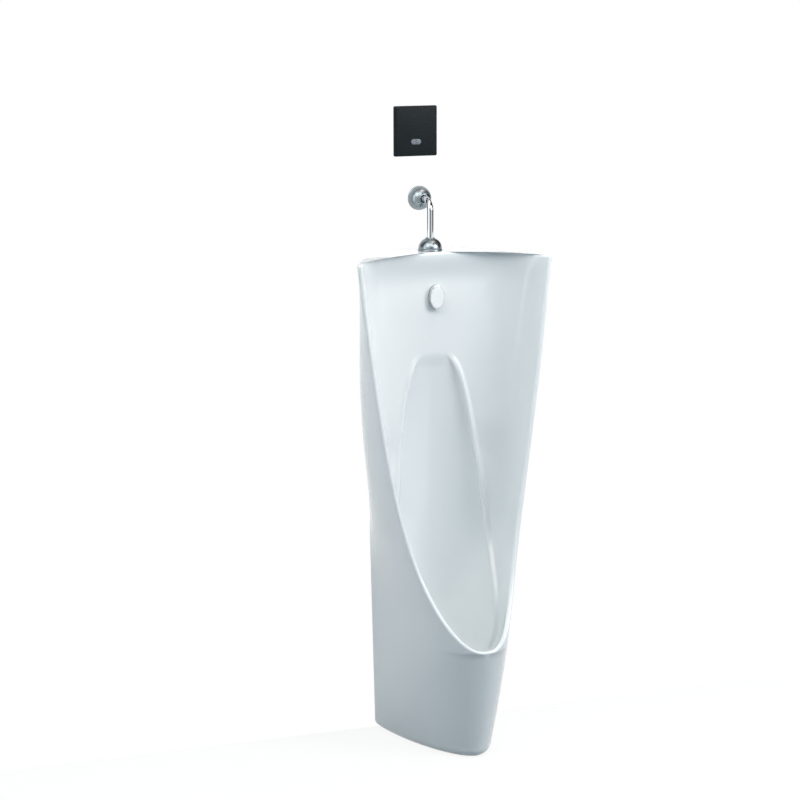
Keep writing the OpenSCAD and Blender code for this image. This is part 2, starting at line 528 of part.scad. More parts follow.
module mounting_frame() {
  color("silver")
  difference() {
    block(px - frame_w / 2, px + frame_w / 2, -2, 0, plate_z - frame_h / 2, plate_z + frame_h / 2);
    block(px - 33, px + 33, -3, 1, plate_z - 40, plate_z + 40);
    box_bosses() translate([0, 1, 0]) rotate([90, 0, 0]) cylinder(r = 2, h = 4);
  }
}
module frame_screws() {
  color("gray")
  box_bosses() {
    along_y(-13) cylinder(r = 1.5, h = 16);
    along_y(2) cylinder(r = 3, h = 1.6);
  }
}

// ---- sensor plate ----
pill_r = 6;
window_z = plate_z - 22.5;
module pill(w, r, h) linear_extrude(h) union() {
  for (x = [-1, 1]) translate([x * (w / 2 - r), 0]) circle(r = r);
  square([w - 2 * r, 2 * r], center = true);
}
bevel = 4;
module face_plate() {
  color("#22282c")
  difference() {
    union() {
      hull() {
        block(px - plate_width / 2, px + plate_width / 2, -plate_thick + bevel * 0.8, 0,
              plate_z - plate_height / 2, plate_z + plate_height / 2);
        block(px - plate_width / 2 + bevel, px + plate_width / 2 - bevel, -plate_thick, 0,
              plate_z - plate_height / 2 + bevel, plate_z + plate_height / 2 - bevel);
      }
    }
    block(px - plate_width / 2 + 3, px + plate_width / 2 - 3, -plate_thick + 5, 1,
          plate_z - plate_height / 2 + 3, plate_z + plate_height / 2 - 3);
    block(px - plate_width / 2 + 7.5, px + plate_width / 2 - 7.5, -plate_thick + 2.5, 1,
          plate_z - plate_height / 2 + 7.5, plate_z + plate_height / 2 - 7.5);
    translate([px, 0, window_z]) along_y(0) pill(window_width, pill_r, plate_thick + 1);
  }
}
// pads that carry the plate on the frame and the clips that hold it
module plate_clips() {
  color("gray")
  for (x = [-1, 1]) translate([px + x * 32.6, 0, plate_z]) {
    block(-2.6, 2.6, -plate_thick + 2.5, -2, -14, 14);
    block(x > 0 ? -2.6 : 0.2, x > 0 ? -0.2 : 2.6, -3, 6, -8, 8);
  }
}
module sensor_window() {
  color("gray")
  translate([px, 0, window_z]) along_y(plate_thick - 2.5) pill(window_width - 0.2, pill_r - 0.1, 2.2);
}
lens_x = window_width / 2 - pill_r;
module sensor_lenses() {
  color("darkslategray")
  for (x = [-1, 1]) translate([px + x * lens_x, 0, window_z]) along_y(plate_thick - 0.3) cylinder(r = pill_r - 0.7, h = 0.6);
}
hs = [54, 34, 18];
module sensor_housing() {
  color("black")
  translate([px, 0, window_z]) difference() {
    block(-hs[0] / 2, hs[0] / 2, -plate_thick + 2.5, hs[2] - plate_thick + 2.5, -hs[1] / 2 + 1, hs[1] / 2 + 1);
    block(-hs[0] / 2 + 2, hs[0] / 2 - 2, -plate_thick + 5, hs[2] + 1, -hs[1] / 2 + 3, hs[1] / 2 - 1);
    along_y(0) pill(window_width - 3, pill_r - 1.5, plate_thick);
  }
}
board_y = hs[2] - plate_thick - 2;
module sensor_board() {
  color("green")
  translate([px, 0, window_z])
    block(-hs[0] / 2 + 2.02, hs[0] / 2 - 2.02, board_y, board_y + 1.6, -hs[1] / 2 + 3.02, hs[1] / 2 - 1.02);
}
module sensor_diodes() {
  color("darkslategray")
  for (x = [-1, 1]) translate([px + x * lens_x, 0, window_z])
    along_y(-board_y) cylinder(r = 2.5, h = board_y + plate_thick - 2.6);
}

// ---- battery ----
bat = [35, 14, 36];
bx0 = px - box_w / 2 + box_t;
bz1 = plate_z + box_h / 2 - 11.5;
module battery_case() {
  color("dimgray")
  difference() {
    block(bx0, bx0 + bat[0] + 3, 12, 12 + bat[1] + 1.7, bz1 - bat[2] - 3, bz1);
    block(bx0 + 1.5, bx0 + bat[0] + 1.5, 11, 12 + bat[1] + 0.2, bz1 - bat[2] - 1.5, bz1 - 1.5);
  }
}
module battery() {
  color("#c0a060")
  translate([bx0 + 1.6, 12.1, bz1 - bat[2] - 1.4]) cube([bat[0] - 0.2, bat[1], bat[2] - 0.2]);
}
module battery_lid() {
  color("dimgray")
  block(bx0, bx0 + bat[0] + 3, 10.4, 12, bz1 - bat[2] - 3, bz1);
}

// ---- flush valve ----
body_r = 14;
seat_x = -body_r - 6;
dia_r = 15;
ball_r = 8.5;
stem_r = 4;
module valve_body() {
  color("goldenrod")
  difference() {
    union() {
      translate([0, valve_y, riser_z1 - 14]) cylinder(r = body_r, h = stop_z + 14 - riser_z1 + 14);
      translate([0, valve_y, valve_z]) rotate([0, -90, 0]) cylinder(r = dia_r + 3, h = -seat_x);
      translate([0, 0, stop_z]) along_y(-valve_y) cylinder(r = 10, h = 18);
      block(-9, 9, valve_y, box_depth - box_t, valve_z - 9, valve_z + 9);
    }
    // riser socket and outlet passage
    translate([0, valve_y, riser_z1 - 20]) cylinder(r = pipe_r + gap, h = 20 + gap);
    translate([0, valve_y, riser_z1 - 1]) cylinder(r = 6, h = valve_z - riser_z1 + 1);
    translate([0, valve_y, valve_z]) rotate([0, -90, 0]) cylinder(r = 6, h = 40);
    // ring passage around the seat
    translate([seat_x - 1, valve_y, valve_z]) rotate([0, 90, 0]) ring(dia_r - 3, 8, 11);
    at_bonnet() cylinder(r = 1.6, h = 14);
    // passage from the ball to the ring
    translate([-10.2, valve_y, valve_z + 9]) cylinder(r = 1.8, h = stop_z - valve_z - 9);
    // ball chamber, inlet socket and stem bore
    translate([0, valve_y, stop_z - 10]) cylinder(r = 9.5, h = 20);
    translate([0, valve_y, stop_z]) cylinder(r = 6.5, h = 40);
    translate([0, valve_y, stop_z + 10 - gap]) cylinder(r = 8.05, h = 20);
    translate([0, 0, stop_z]) along_y(-valve_y) cylinder(r = stem_r + 0.08, h = 30);
    translate([0, 0, stop_z]) along_y(-valve_y + 10.5) cylinder(r = 6.5, h = 10);
  }
}
module ball_seats() {
  color("white")
  translate([0, valve_y, stop_z]) difference() {
    for (z = [-10, 6]) translate([0, 0, z]) ring(9.4, 5.2, 4);
    sphere(r = ball_r + 0.1);
  }
}
module stop_stem() {
  color("silver")
  translate([0, valve_y, stop_z]) difference() {
    union() {
      sphere(r = ball_r);
      rotate([90, 0, 0]) cylinder(r = stem_r, h = 24);
    }
    translate([0, 0, -10]) cylinder(r = 4.6, h = 20);
    translate([-0.8, -25, -5]) cube([1.6, 3, 10]);
  }
}
module gland_nut() {
  color("goldenrod")
  translate([0, 0, stop_z]) difference() {
    union() {
      along_y(-valve_y + 10.6) cylinder(r = 6.4, h = 8);
      along_y(-valve_y + 18) cylinder(r = 9, h = 4, $fn = 6);
    }
    along_y(-valve_y) cylinder(r = stem_r + 0.08, h = 30);
  }
}
module supply_nipple() {
  color("goldenrod")
  translate([0, valve_y, stop_z + 10]) difference() {
    ring(8, 5.5, plate_z + box_h / 2 + 22 - stop_z - 10);
    // groove under the coupling end
    translate([0, 0, plate_z + box_h / 2 + 1 - stop_z - 10]) ring(9, 7.4, 1);
  }
}
module filter_screen() {
  color("silver")
  translate([0, valve_y, stop_z + 26]) ring(5.4, 1.2, 1);
}
module diaphragm() {
  color("dimgray")
  difference() {
    translate([seat_x - 2, valve_y, valve_z]) rotate([0, 90, 0]) cylinder(r = dia_r + 3, h = 2);
    at_bonnet() cylinder(r = 1.6, h = 12);
  }
}
bonnet_x = seat_x - 2;
// the four screws of the bonnet, child z runs from the screw head into the body
module at_bonnet() for (a = [45:90:315])
  translate([bonnet_x - 5, valve_y + (dia_r + 0.2) * cos(a), valve_z + (dia_r + 0.2) * sin(a)]) rotate([0, 90, 0]) children();
module valve_bonnet() {
  color("black")
  difference() {
    translate([bonnet_x, valve_y, valve_z]) rotate([0, -90, 0]) difference() {
      cylinder(r = dia_r + 3, h = 5);
      translate([0, 0, -1]) cylinder(r = dia_r - 5, h = 3);
      cylinder(r = 5.2, h = 10);
    }
    at_bonnet() translate([0, 0, -1]) cylinder(r = 1.6, h = 12);
  }
}
module bonnet_screws() {
  color("silver")
  at_bonnet() {
    translate([0, 0, -1.5]) cylinder(r = 2.6, h = 1.5);
    translate([0, 0, -0.5]) cylinder(r = 1.5, h = 14);
  }
}
tube_x = bonnet_x - 2;
module core_tube() {
  color("silver")
  translate([tube_x, valve_y, valve_z]) rotate([0, -90, 0]) difference() {
    cylinder(r = 5.1, h = 24);
    translate([0, 0, -1]) cylinder(r = 4.08, h = 22);
  }
}
plunger_len = 15;
module solenoid_plunger() {
  color("gray")
  translate([bonnet_x, valve_y, valve_z]) rotate([0, -90, 0]) cylinder(r = 4, h = plunger_len);
}
module plunger_spring() {
  color("silver")
  translate([bonnet_x - plunger_len - plunger_travel - 0.4, valve_y, valve_z]) rotate([0, -90, 0])
    ring(4, 3.1, 23 - plunger_len - plunger_travel - 0.4);
}
module solenoid_coil() {
  color("black")
  translate([bonnet_x - 5, valve_y, valve_z]) rotate([0, -90, 0]) ring(9.5, 5.15, 17);
}
module coil_nut() {
  color("silver")
  translate([bonnet_x - 22, valve_y, valve_z]) rotate([0, -90, 0]) hex_nut(8, 5.15, 3);
}

// ---- waste and trap ----
module at_drain(z) translate([0, -drain_s, z]) children();
flange_z = seat_z + seal;
barrel_r = waste_r - 0.5;
dip_r = 17.5;
module waste_body() {
  color("silver")
  at_drain(0) difference() {
    union() {
      translate([0, 0, flange_z]) cylinder(r = waste_r + 10, h = 3);
      translate([0, 0, trap_top - 6]) cylinder(r = barrel_r, h = flange_z - trap_top + 7);
      translate([0, 0, 36]) cylinder(r = dip_r, h = trap_top - 34);
    }
    translate([0, 0, 30]) cylinder(r = dip_r - 2, h = 200);
    translate([0, 0, trap_top - 3]) cylinder(r = barrel_r - 3, h = 200);
  }
}
module waste_gasket() {
  color("dimgray")
  at_drain(seat_z) ring(waste_r + 9, waste_r - 0.3, seal);
}
module waste_seal() {
  color("dimgray")
  at_drain(chamber_z - 3) ring(waste_r + 9, waste_r - 0.3, 3);
}
module waste_nut() {
  color("white")
  at_drain(chamber_z - 13) difference() {
    union() {
      cylinder(r = waste_r + 8, h = 10);
      for (a = [0:60:300]) rotate([0, 0, a]) translate([waste_r + 4, -4, 0]) cube([7, 8, 8]);
    }
    translate([0, 0, -1]) cylinder(r = waste_r - 0.4, h = 12);
  }
}
strainer_r = waste_r + 5;
module strainer() {
  color("silver")
  at_drain(flange_z + 3) difference() {
    union() {
      cylinder(r1 = strainer_r, r2 = strainer_r - 2, h = 2.5);
      translate([0, 0, -9]) ring(barrel_r - 3.1, barrel_r - 5, 10);
      translate([0, 0, 2]) cylinder(r = 7, h = 6);
    }
    for (k = [0:11]) rotate([0, 0, 30 * k]) translate([strainer_r - 11, 0, -1]) cylinder(r = 2.6, h = 5, $fn = 32);
    for (k = [0:5]) rotate([0, 0, 60 * k]) translate([strainer_r - 19.5, 0, -1]) cylinder(r = 2.2, h = 5, $fn = 32);
  }
}
trap_r = trap_diameter / 2;
out_r = outlet_diameter / 2;
module trap_cup() {
  color("white")
  difference() {
    union() {
      at_drain(12) cylinder(r = trap_r, h = trap_top - 12);
      translate([0, 0, outlet_height]) along_y(96) cylinder(r = out_r + 4, h = drain_s - 96);
    }
    at_drain(15) cylinder(r = trap_r - 3, h = trap_top - 18);
    at_drain(20) cylinder(r = barrel_r + gap, h = 100);
    translate([0, 0, outlet_height]) along_y(95) cylinder(r = out_r - 2.5, h = drain_s - 95);
    translate([0, 0, outlet_height]) along_y(95) cylinder(r = out_r + gap, h = 15);
  }
}
module trap_ring() {
  color("dimgray")
  at_drain(trap_top) ring(barrel_r + 4, barrel_r + 0.05, 3);
}
module trap_nut() {
  color("white")
  at_drain(trap_top) difference() {
    union() {
      cylinder(r = barrel_r + 8.5, h = 11);
      for (a = [0:45:315]) rotate([0, 0, a]) translate([barrel_r + 6, -2.5, 0]) cube([4, 5, 9]);
    }
    translate([0, 0, -1]) cylinder(r = barrel_r + 4 + gap, h = 4 + gap);
    cylinder(r = barrel_r + gap, h = 20);
  }
}
module outlet_pipe() {
  color("lightgray")
  translate([0, 0, outlet_height]) along_y(-72) difference() {
    ring(out_r, out_r - 2.5, 181.9);
    // groove under the socket end
    translate([0, 0, 20.5]) ring(out_r + 1, out_r - 0.8, 1);
  }
}
module outlet_seal() {
  color("dimgray")
  translate([0, 0, outlet_height]) along_y(92.9) ring(out_r + 4, out_r + 0.05, 3);
}
module outlet_nut() {
  color("white")
  translate([0, 0, outlet_height]) along_y(86) difference() {
    union() {
      cylinder(r = out_r + 8.5, h = 24);
      for (a = [0:45:315]) rotate([0, 0, a]) translate([out_r + 6, -2.5, 0]) cube([4, 5, 18]);
    }
    translate([0, 0, 7 - gap]) cylinder(r = out_r + 4 + gap, h = 20);
    translate([0, 0, -1]) cylinder(r = out_r + gap, h = 20);
  }
}
module wall_sleeve() {
  color("dimgray")
  translate([0, 0, outlet_height]) {
    along_y(-50) ring(out_r + 6, out_r + 0.05, 48);
    along_y(-4) ring(out_r + 10, out_r + 0.05, 4);
  }
}

ceramic_body();
wall_hooks();
hook_screws();
inlet_bend();
bell_cover();
wall_cover();
inlet_grommet();
feed_body();
feed_ring();
feed_washer();
spreader_washer();
spreader_nut();
spreader_cup();
spreader_face();
wall_elbow();
elbow_olive();
elbow_nut();
riser_pipe();
rough_in_box();
mounting_frame();
frame_screws();
face_plate();
plate_clips();
sensor_window();
sensor_lenses();
sensor_housing();
sensor_board();
sensor_diodes();
battery_case();
battery();
battery_lid();
valve_body();
ball_seats();
stop_stem();
gland_nut();
supply_nipple();
filter_screen();
diaphragm();
valve_bonnet();
bonnet_screws();
core_tube();
solenoid_plunger();
plunger_spring();
solenoid_coil();
coil_nut();
waste_body();
waste_gasket();
waste_seal();
waste_nut();
strainer();
trap_cup();
trap_ring();
trap_nut();
outlet_pipe();
outlet_seal();
outlet_nut();
wall_sleeve();
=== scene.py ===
# %% [markdown]
# # A floor standing urinal, dressed for the camera
#
# The object is a tall open bowl of white glazed vitreous china that stands on the floor with its
# back on the wall. A chrome flush pipe comes out of the wall above it, turns down and goes through
# the top, and a flat black plate on the wall hides the sensor, the battery and the flush valve.
# The engineered solids are loaded first and never changed. Each cell then either makes a finer
# piece that stands for one of them, or gives a solid the finish of the real material.

# %% Load the engineered solids
import math

import bmesh
import bpy
import numpy as np
from mathutils import Matrix, Vector


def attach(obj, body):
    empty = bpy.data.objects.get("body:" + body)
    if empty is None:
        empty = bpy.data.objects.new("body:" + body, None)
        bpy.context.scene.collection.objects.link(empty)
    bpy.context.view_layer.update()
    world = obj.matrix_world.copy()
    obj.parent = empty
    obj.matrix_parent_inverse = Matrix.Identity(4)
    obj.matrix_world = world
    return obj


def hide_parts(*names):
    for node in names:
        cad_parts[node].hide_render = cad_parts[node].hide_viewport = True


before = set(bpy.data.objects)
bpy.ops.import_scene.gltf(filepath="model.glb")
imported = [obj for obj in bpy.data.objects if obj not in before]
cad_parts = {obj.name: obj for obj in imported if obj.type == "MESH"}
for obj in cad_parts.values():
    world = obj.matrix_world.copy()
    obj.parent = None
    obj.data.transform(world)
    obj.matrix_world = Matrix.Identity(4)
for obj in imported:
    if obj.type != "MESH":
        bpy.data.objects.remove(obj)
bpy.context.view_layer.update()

MM = 0.001

# %% [markdown]
# ## Camera
#
# The photograph was taken with a long lens from the left, a little above the top of the bowl.
# Fitting the outline of a symmetric body gave the place and the lens. The object doesn't stand in
# the middle of the picture, so the lens is shifted, which moves the picture sideways and up
# without turning the camera.

# %% Camera
CAMERA_TURN = 24                        # degrees to the left of straight on
CAMERA_PITCH = 10.32                    # degrees down
CAMERA_PLACE = (-2.393, -5.486, 1.699)  # metres
LENS_MM, SENSOR_MM = 126, 36
camera_data = bpy.data.cameras.new("camera")
camera = bpy.data.objects.new("camera", camera_data)
bpy.context.collection.objects.link(camera)
camera.location = CAMERA_PLACE
camera.rotation_euler = (math.radians(90 - CAMERA_PITCH), 0, math.radians(-CAMERA_TURN))
camera_data.lens = LENS_MM
camera_data.sensor_width = SENSOR_MM
camera_data.shift_x = -0.05
camera_data.shift_y = 0.0625
camera_data.clip_end = 100
bpy.context.scene.camera = camera
print("camera at", CAMERA_PLACE, "with a lens of", LENS_MM, "mm")

# %% [markdown]
# ## Materials
#
# Every finish is a small tree of shader nodes. Two helpers keep the trees readable: one turns a
# colour as it is written for the web into the linear values that a renderer adds up, and one adds
# a node with its settings and links.

# %% Colour and node helpers
def linear(hex_code):
    """sRGB hex to linear RGBA."""
    parts = [int(hex_code[i:i + 2], 16) / 255 for i in (0, 2, 4)]
    return tuple(c / 12.92 if c <= 0.04045 else ((c + 0.055) / 1.055) ** 2.4 for c in parts) + (1,)


def node(tree, kind, settings=None, **links):
    """Adds a node. settings are its own properties, links are values or (node, output) pairs.

    A link i0, i1 and so on names a socket by its number, any other by its name.
    """
    made = tree.nodes.new(kind)
    for key, value in (settings or {}).items():
        setattr(made, key, value)
    for key, value in links.items():
        numbered = key[0] == "i" and key[1:].isdigit()
        socket = made.inputs[int(key[1:]) if numbered else key.replace("_", " ")]
        if isinstance(value, tuple) and len(value) == 2 and isinstance(value[0], bpy.types.Node):
            tree.links.new(value[0].outputs[value[1]], socket)
        else:
            socket.default_value = value
    return made


def new_material(name):
    """An empty node tree, so that each finish shows all of its nodes in its own cell."""
    material = bpy.data.materials.new(name)
    material.use_nodes = True
    material.node_tree.nodes.clear()
    return material, material.node_tree


# %% [markdown]
# A finish needs colour that varies a little, roughness that varies a little, and a surface that
# is not perfectly flat. The next helper builds that from two noise patterns whose sizes are given
# in millimetres, so each material states how big its grain or its waves really are.

# %% One recipe for plain finishes
def finish_material(name, colours, rough, metal=0.0, patch_mm=60, grain_mm=1.0, bump_mm=0.02,
                    ior=1.5, gloss=0.5, stretch=(1, 1, 1)):
    """colours: two hex codes mixed in patches; rough: the lowest and the highest roughness."""
    material, tree = new_material(name)
    where = node(tree, "ShaderNodeTexCoord")
    spread = node(tree, "ShaderNodeMapping", Vector=(where, "Object"), Scale=stretch)
    patches = node(tree, "ShaderNodeTexNoise", Vector=(spread, "Vector"), Scale=1 / (patch_mm * MM),
                   Detail=3.0, Roughness=0.55)
    grain = node(tree, "ShaderNodeTexNoise", Vector=(spread, "Vector"), Scale=1 / (grain_mm * MM),
                 Detail=4.0, Roughness=0.6)
    colour = node(tree, "ShaderNodeMix", {"data_type": "RGBA"})
    tree.links.new(patches.outputs["Fac"], colour.inputs["Factor"])
    colour.inputs["A"].default_value = linear(colours[0])
    colour.inputs["B"].default_value = linear(colours[1])
    half = node(tree, "ShaderNodeMath", {"operation": "MULTIPLY_ADD"}, i0=(grain, "Fac"), i1=0.5, i2=0.0)
    both = node(tree, "ShaderNodeMath", {"operation": "MULTIPLY_ADD"},
                i0=(patches, "Fac"), i1=0.5, i2=(half, "Value"))
    shine = node(tree, "ShaderNodeMapRange", Value=(both, "Value"), To_Min=rough[0], To_Max=rough[1])
    shine.inputs["From Min"].default_value = 0.3
    shine.inputs["From Max"].default_value = 0.7
    relief = node(tree, "ShaderNodeBump", Height=(grain, "Fac"), Strength=1.0, Distance=bump_mm * MM)
    skin = node(tree, "ShaderNodeBsdfPrincipled", Base_Color=(colour, "Result"),
                Roughness=(shine, "Result"), Normal=(relief, "Normal"), Metallic=metal, IOR=ior)
    skin.inputs["Specular IOR Level"].default_value = gloss
    node(tree, "ShaderNodeOutputMaterial", Surface=(skin, "BSDF"))
    return material


# %% [markdown]
# Vitreous china is fired twice: the white glaze is a layer of glass about half a millimetre thick
# that pulled smooth while it was liquid. What the eye sees is a deep clean white with sharp
# reflections that bend a little, because the surface carries slow waves a few centimetres long.
# Inside the foot and behind the bowl there is no glaze, and the fired clay is matt and warmer.

# %% Glaze and bare clay
# The waves are 45 mm long and 0.05 mm high, so they show only in the edges of reflections.
glaze = finish_material("glazed_vitreous_china", ("EDF1F2", "F1F4F5"), (0.07, 0.11),
                        patch_mm=180, grain_mm=45, bump_mm=0.05, ior=1.52)
# The real grit is about 0.2 mm and would not show, so it is drawn at 1.2 mm.
clay = finish_material("fired_clay", ("D9D3C6", "E3DED2"), (0.8, 0.95),
                       patch_mm=40, grain_mm=1.2, bump_mm=0.15)

# %% [markdown]
# Chrome plate is a mirror with a slightly blue grey colour. Fingerprints and water leave very
# faint dull patches, which the noise in the roughness gives. The other metals sit out of sight.
# Each keeps the colour and the marks of how it was made: rolled, cast or drawn.

# %% Metals
chrome = finish_material("chrome_plate", ("C3C9CD", "CCD1D5"), (0.04, 0.1), 1.0,
                         patch_mm=14, grain_mm=4, bump_mm=0.0004)
# Rolling leaves lines that are stretched along one way and blur what the steel reflects. They
# are about 0.1 mm wide in reality and drawn at 0.6 mm, so that they show.
stainless = finish_material("rolled_stainless", ("A6A7A8", "B4B4B3"), (0.28, 0.4), 1.0,
                            patch_mm=12, grain_mm=0.6, bump_mm=0.01, stretch=(1, 1, 0.15))
# Brass from a sand mould is a dull warm yellow with a fine grain.
brass = finish_material("cast_brass", ("B08D4A", "C3A25E"), (0.25, 0.42), 1.0,
                        patch_mm=8, grain_mm=0.9, bump_mm=0.03)
# Copper pulled through a die is a brownish red with faint lines along the tube.
copper = finish_material("drawn_copper", ("B87450", "C98A63"), (0.22, 0.36), 1.0,
                         patch_mm=16, grain_mm=0.8, bump_mm=0.01, stretch=(1, 1, 0.2))

# %% [markdown]
# The plate is moulded in a satin near-black with a blue green tint, and the sensor looks out
# through a smoky grey acrylic pill. The hidden fittings are ordinary plumbing plastics and rubber.

# %% Plastics of the plate and the spreader
# The fine moulded grain spreads the light, so the plate is one even dark face with a dim sheen.
plate_black = finish_material("satin_black_abs", ("11181B", "151C20"), (0.34, 0.42),
                              patch_mm=50, grain_mm=0.7, bump_mm=0.01, gloss=0.12)
# Smoky acrylic is glassy but lets no shape behind it show, so it is drawn as a solid grey.
smoke_acrylic = finish_material("smoky_acrylic", ("666D73", "6E757B"), (0.12, 0.2),
                                patch_mm=12, grain_mm=2, bump_mm=0.003, ior=1.49, gloss=0.3)
lens_acrylic = finish_material("lens_acrylic", ("747B82", "7B828A"), (0.1, 0.16),
                               patch_mm=10, grain_mm=2, bump_mm=0.003, ior=1.49, gloss=0.3)
# Acetal is a clean, slightly waxy white.
white_cap = finish_material("white_acetal_cap", ("F4F6F7", "FAFBFB"), (0.16, 0.22),
                            patch_mm=25, grain_mm=4, bump_mm=0.005)

# %% Plastics and rubber of the hidden fittings
# Nylon and polypropylene come out of the mould with a soft, broad shine.
black_nylon = finish_material("black_nylon", ("17181A", "1F2022"), (0.5, 0.62),
                              patch_mm=18, grain_mm=0.5, bump_mm=0.03)
box_blue = finish_material("blue_polypropylene", ("2B5C93", "34679F"), (0.42, 0.55),
                           patch_mm=30, grain_mm=0.8, bump_mm=0.04)
pipe_white = finish_material("white_polypropylene", ("DEDFDC", "E7E8E5"), (0.32, 0.45),
                             patch_mm=30, grain_mm=1.0, bump_mm=0.02)
# Rubber is nearly matt, and PTFE is a dense white with a greasy shine.
rubber = finish_material("black_rubber", ("161616", "202020"), (0.65, 0.8),
                         patch_mm=14, grain_mm=0.4, bump_mm=0.05)
ptfe = finish_material("white_ptfe", ("EDEDEA", "F4F4F1"), (0.3, 0.42),
                       patch_mm=8, grain_mm=0.6, bump_mm=0.01)
# Lacquer makes the circuit board a glossy green, and the battery's film makes it a shiny gold.
board_green = finish_material("solder_mask_green", ("14502B", "1B5E34"), (0.25, 0.35),
                              patch_mm=6, grain_mm=0.5, bump_mm=0.02)
battery_wrap = finish_material("shrink_wrap_gold", ("9A7B2C", "AD8D3B"), (0.2, 0.3),
                               patch_mm=12, grain_mm=1.5, bump_mm=0.03)
print("materials:", len(bpy.data.materials))

# %% [markdown]
# ## Solids that stay
#
# Most fittings hide inside the wall or under the bowl. Their engineered shape is already the
# right one, so they only get the finish of what they are made of. The solids that a finer piece
# stands for get theirs too, for whoever looks at them alone.

# %% Finishes for the solids
FINISHES = {
    glaze: ["ceramic_body"],
    stainless: ["wall_hooks", "hook_screws", "mounting_frame", "frame_screws", "plate_clips",
                "bonnet_screws", "filter_screen", "core_tube", "plunger_spring", "solenoid_plunger",
                "coil_nut"],
    chrome: ["inlet_bend", "bell_cover", "wall_cover", "spreader_cup", "waste_body", "strainer"],
    white_cap: ["spreader_face"],
    rubber: ["inlet_grommet", "feed_ring", "feed_washer", "spreader_washer", "waste_gasket",
             "waste_seal", "trap_ring", "outlet_seal", "wall_sleeve", "diaphragm"],
    brass: ["feed_body", "spreader_nut", "wall_elbow", "elbow_nut", "valve_body", "gland_nut",
            "supply_nipple", "stop_stem"],
    copper: ["elbow_olive", "riser_pipe"],
    box_blue: ["rough_in_box"],
    plate_black: ["face_plate"],
    smoke_acrylic: ["sensor_window", "sensor_lenses"],
    black_nylon: ["sensor_housing", "sensor_diodes", "battery_case", "battery_lid", "valve_bonnet",
                  "solenoid_coil"],
    board_green: ["sensor_board"],
    battery_wrap: ["battery"],
    ptfe: ["ball_seats"],
    pipe_white: ["waste_nut", "trap_cup", "trap_nut", "outlet_nut", "outlet_pipe"],
}
for material, names in FINISHES.items():
    for name in names:
        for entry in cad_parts[name].material_slots:
            entry.material = material
print("finished solids:", sum(len(names) for names in FINISHES.values()))

# %% [markdown]
# ## Making pieces
#
# A new piece is shaped in a bmesh, written to a mesh, shaded smooth up to an edge angle, and then
# tied to the body that carries it. One function does the last steps for all of them.

# %% From bmesh to a piece
WELD = 2e-6  # metres: points closer than this become one


def make_piece(name, bm, material, body="fixed", stands_for=(), sharp=40):
    """Writes the mesh and ties it to its body; sharp is the angle of an edge that stays crisp."""
    bmesh.ops.remove_doubles(bm, verts=bm.verts, dist=WELD)
    bmesh.ops.recalc_face_normals(bm, faces=bm.faces)
    mesh = bpy.data.meshes.new(name)
    bm.to_mesh(mesh)
    bm.free()
    mesh.materials.append(material)
    mesh.shade_smooth()
    mesh.set_sharp_from_angle(angle=math.radians(sharp))
    piece = bpy.data.objects.new(name, mesh)
    bpy.context.collection.objects.link(piece)
    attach(piece, body)
    if stands_for:
        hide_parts(*stands_for)
    used = {tuple(sorted(k)) for p in mesh.polygons for k in p.edge_keys}
    print(f"{name}: {len(mesh.polygons)} faces, {len(mesh.edges) - len(used)} loose edges")
    return piece


def arc(centre_r, centre_z, radius, start, end, steps):
    """Points of a circle in a lathe profile, angles in degrees."""
    angles = [math.radians(start + (end - start) * k / steps) for k in range(steps + 1)]
    return [(centre_r + radius * math.cos(a), centre_z + radius * math.sin(a)) for a in angles]


def turn(profile, steps=96, closed=True):
    """Spins a closed profile of (radius, height) in millimetres round Z."""
    bm = bmesh.new()
    verts = [bm.verts.new((r * MM, 0, z * MM)) for r, z in profile]
    ahead = verts[1:] + verts[:1] if closed else verts[1:]
    edges = [bm.edges.new((a, b)) for a, b in zip(verts, ahead)]
    bmesh.ops.spin(bm, geom=verts + edges, axis=(0, 0, 1), cent=(0, 0, 0), steps=steps,
                   angle=2 * math.pi, use_merge=True)
    return bm


def place(bm, matrix):
    """Moves the whole mesh, because a finished piece's object stays at the origin."""
    bmesh.ops.transform(bm, matrix=matrix, verts=bm.verts)
    return bm


OUT_OF_WALL = Matrix.Rotation(math.radians(90), 4, "X")  # turns +Z to the front of the wall

# %% [markdown]
# ## The ceramic body
#
# The bowl is the object, so it gets the most care. The real one is slip cast: a skin about eleven
# millimetres thick that runs from the outside over a round rim into the bowl, with a recess
# pressed into the back whose edge is a soft bead. It could be sculpted, but every height of it is
# a simple curve: straight at the wall, swelling to the sides, and closing at the nose. So the
# shape is written as one curve per height, in the same sizes as the engineered solid, and a fine
# grid made by an operator is laid onto those curves.

# %% Sizes of the ceramic body in millimetres
# x is the distance from the middle, s the distance from the wall and z the height.
BODY_HEIGHT, BODY_WIDTH, BODY_DEPTH = 1050.0, 444.0, 354.5
LIP_HEIGHT, FOOT_WIDTH, FOOT_DEPTH, FOOT_ROUND = 240.0, 212.0, 305.0, 18.0
RIM_THICK, RIM_FLAT = 11.0, 1.5        # the rim's thickness, and the flat between its two rounds
RIM_R = (RIM_THICK - RIM_FLAT) / 2
EAR_S = BODY_DEPTH - 161               # the two front corners of the top
EAR_DROP, LIFT_AT = 6.6, 105.0         # how far they fall, and where the fall starts
DECK_DEPTH, DRAIN_S = 100.0, 165.0     # the deck in its middle, and the waste's distance
FLOOR_Z = LIP_HEIGHT - 78              # lowest ring of the bowl
LIP_Z = LIP_HEIGHT - RIM_R             # middle of the rim at the lip, and at the top
TOP_Z = BODY_HEIGHT - EAR_DROP - RIM_R
print("the rim runs from", LIP_Z, "to", TOP_Z, "mm")


def ease(t):
    """0 below 0, 1 above 1, and a smooth step between."""
    t = np.clip(t, 0, 1)
    return t * t * (3 - 2 * t)


def mix(a, b, t):
    """a where t is 0, b where it is 1."""
    return a + (b - a) * t


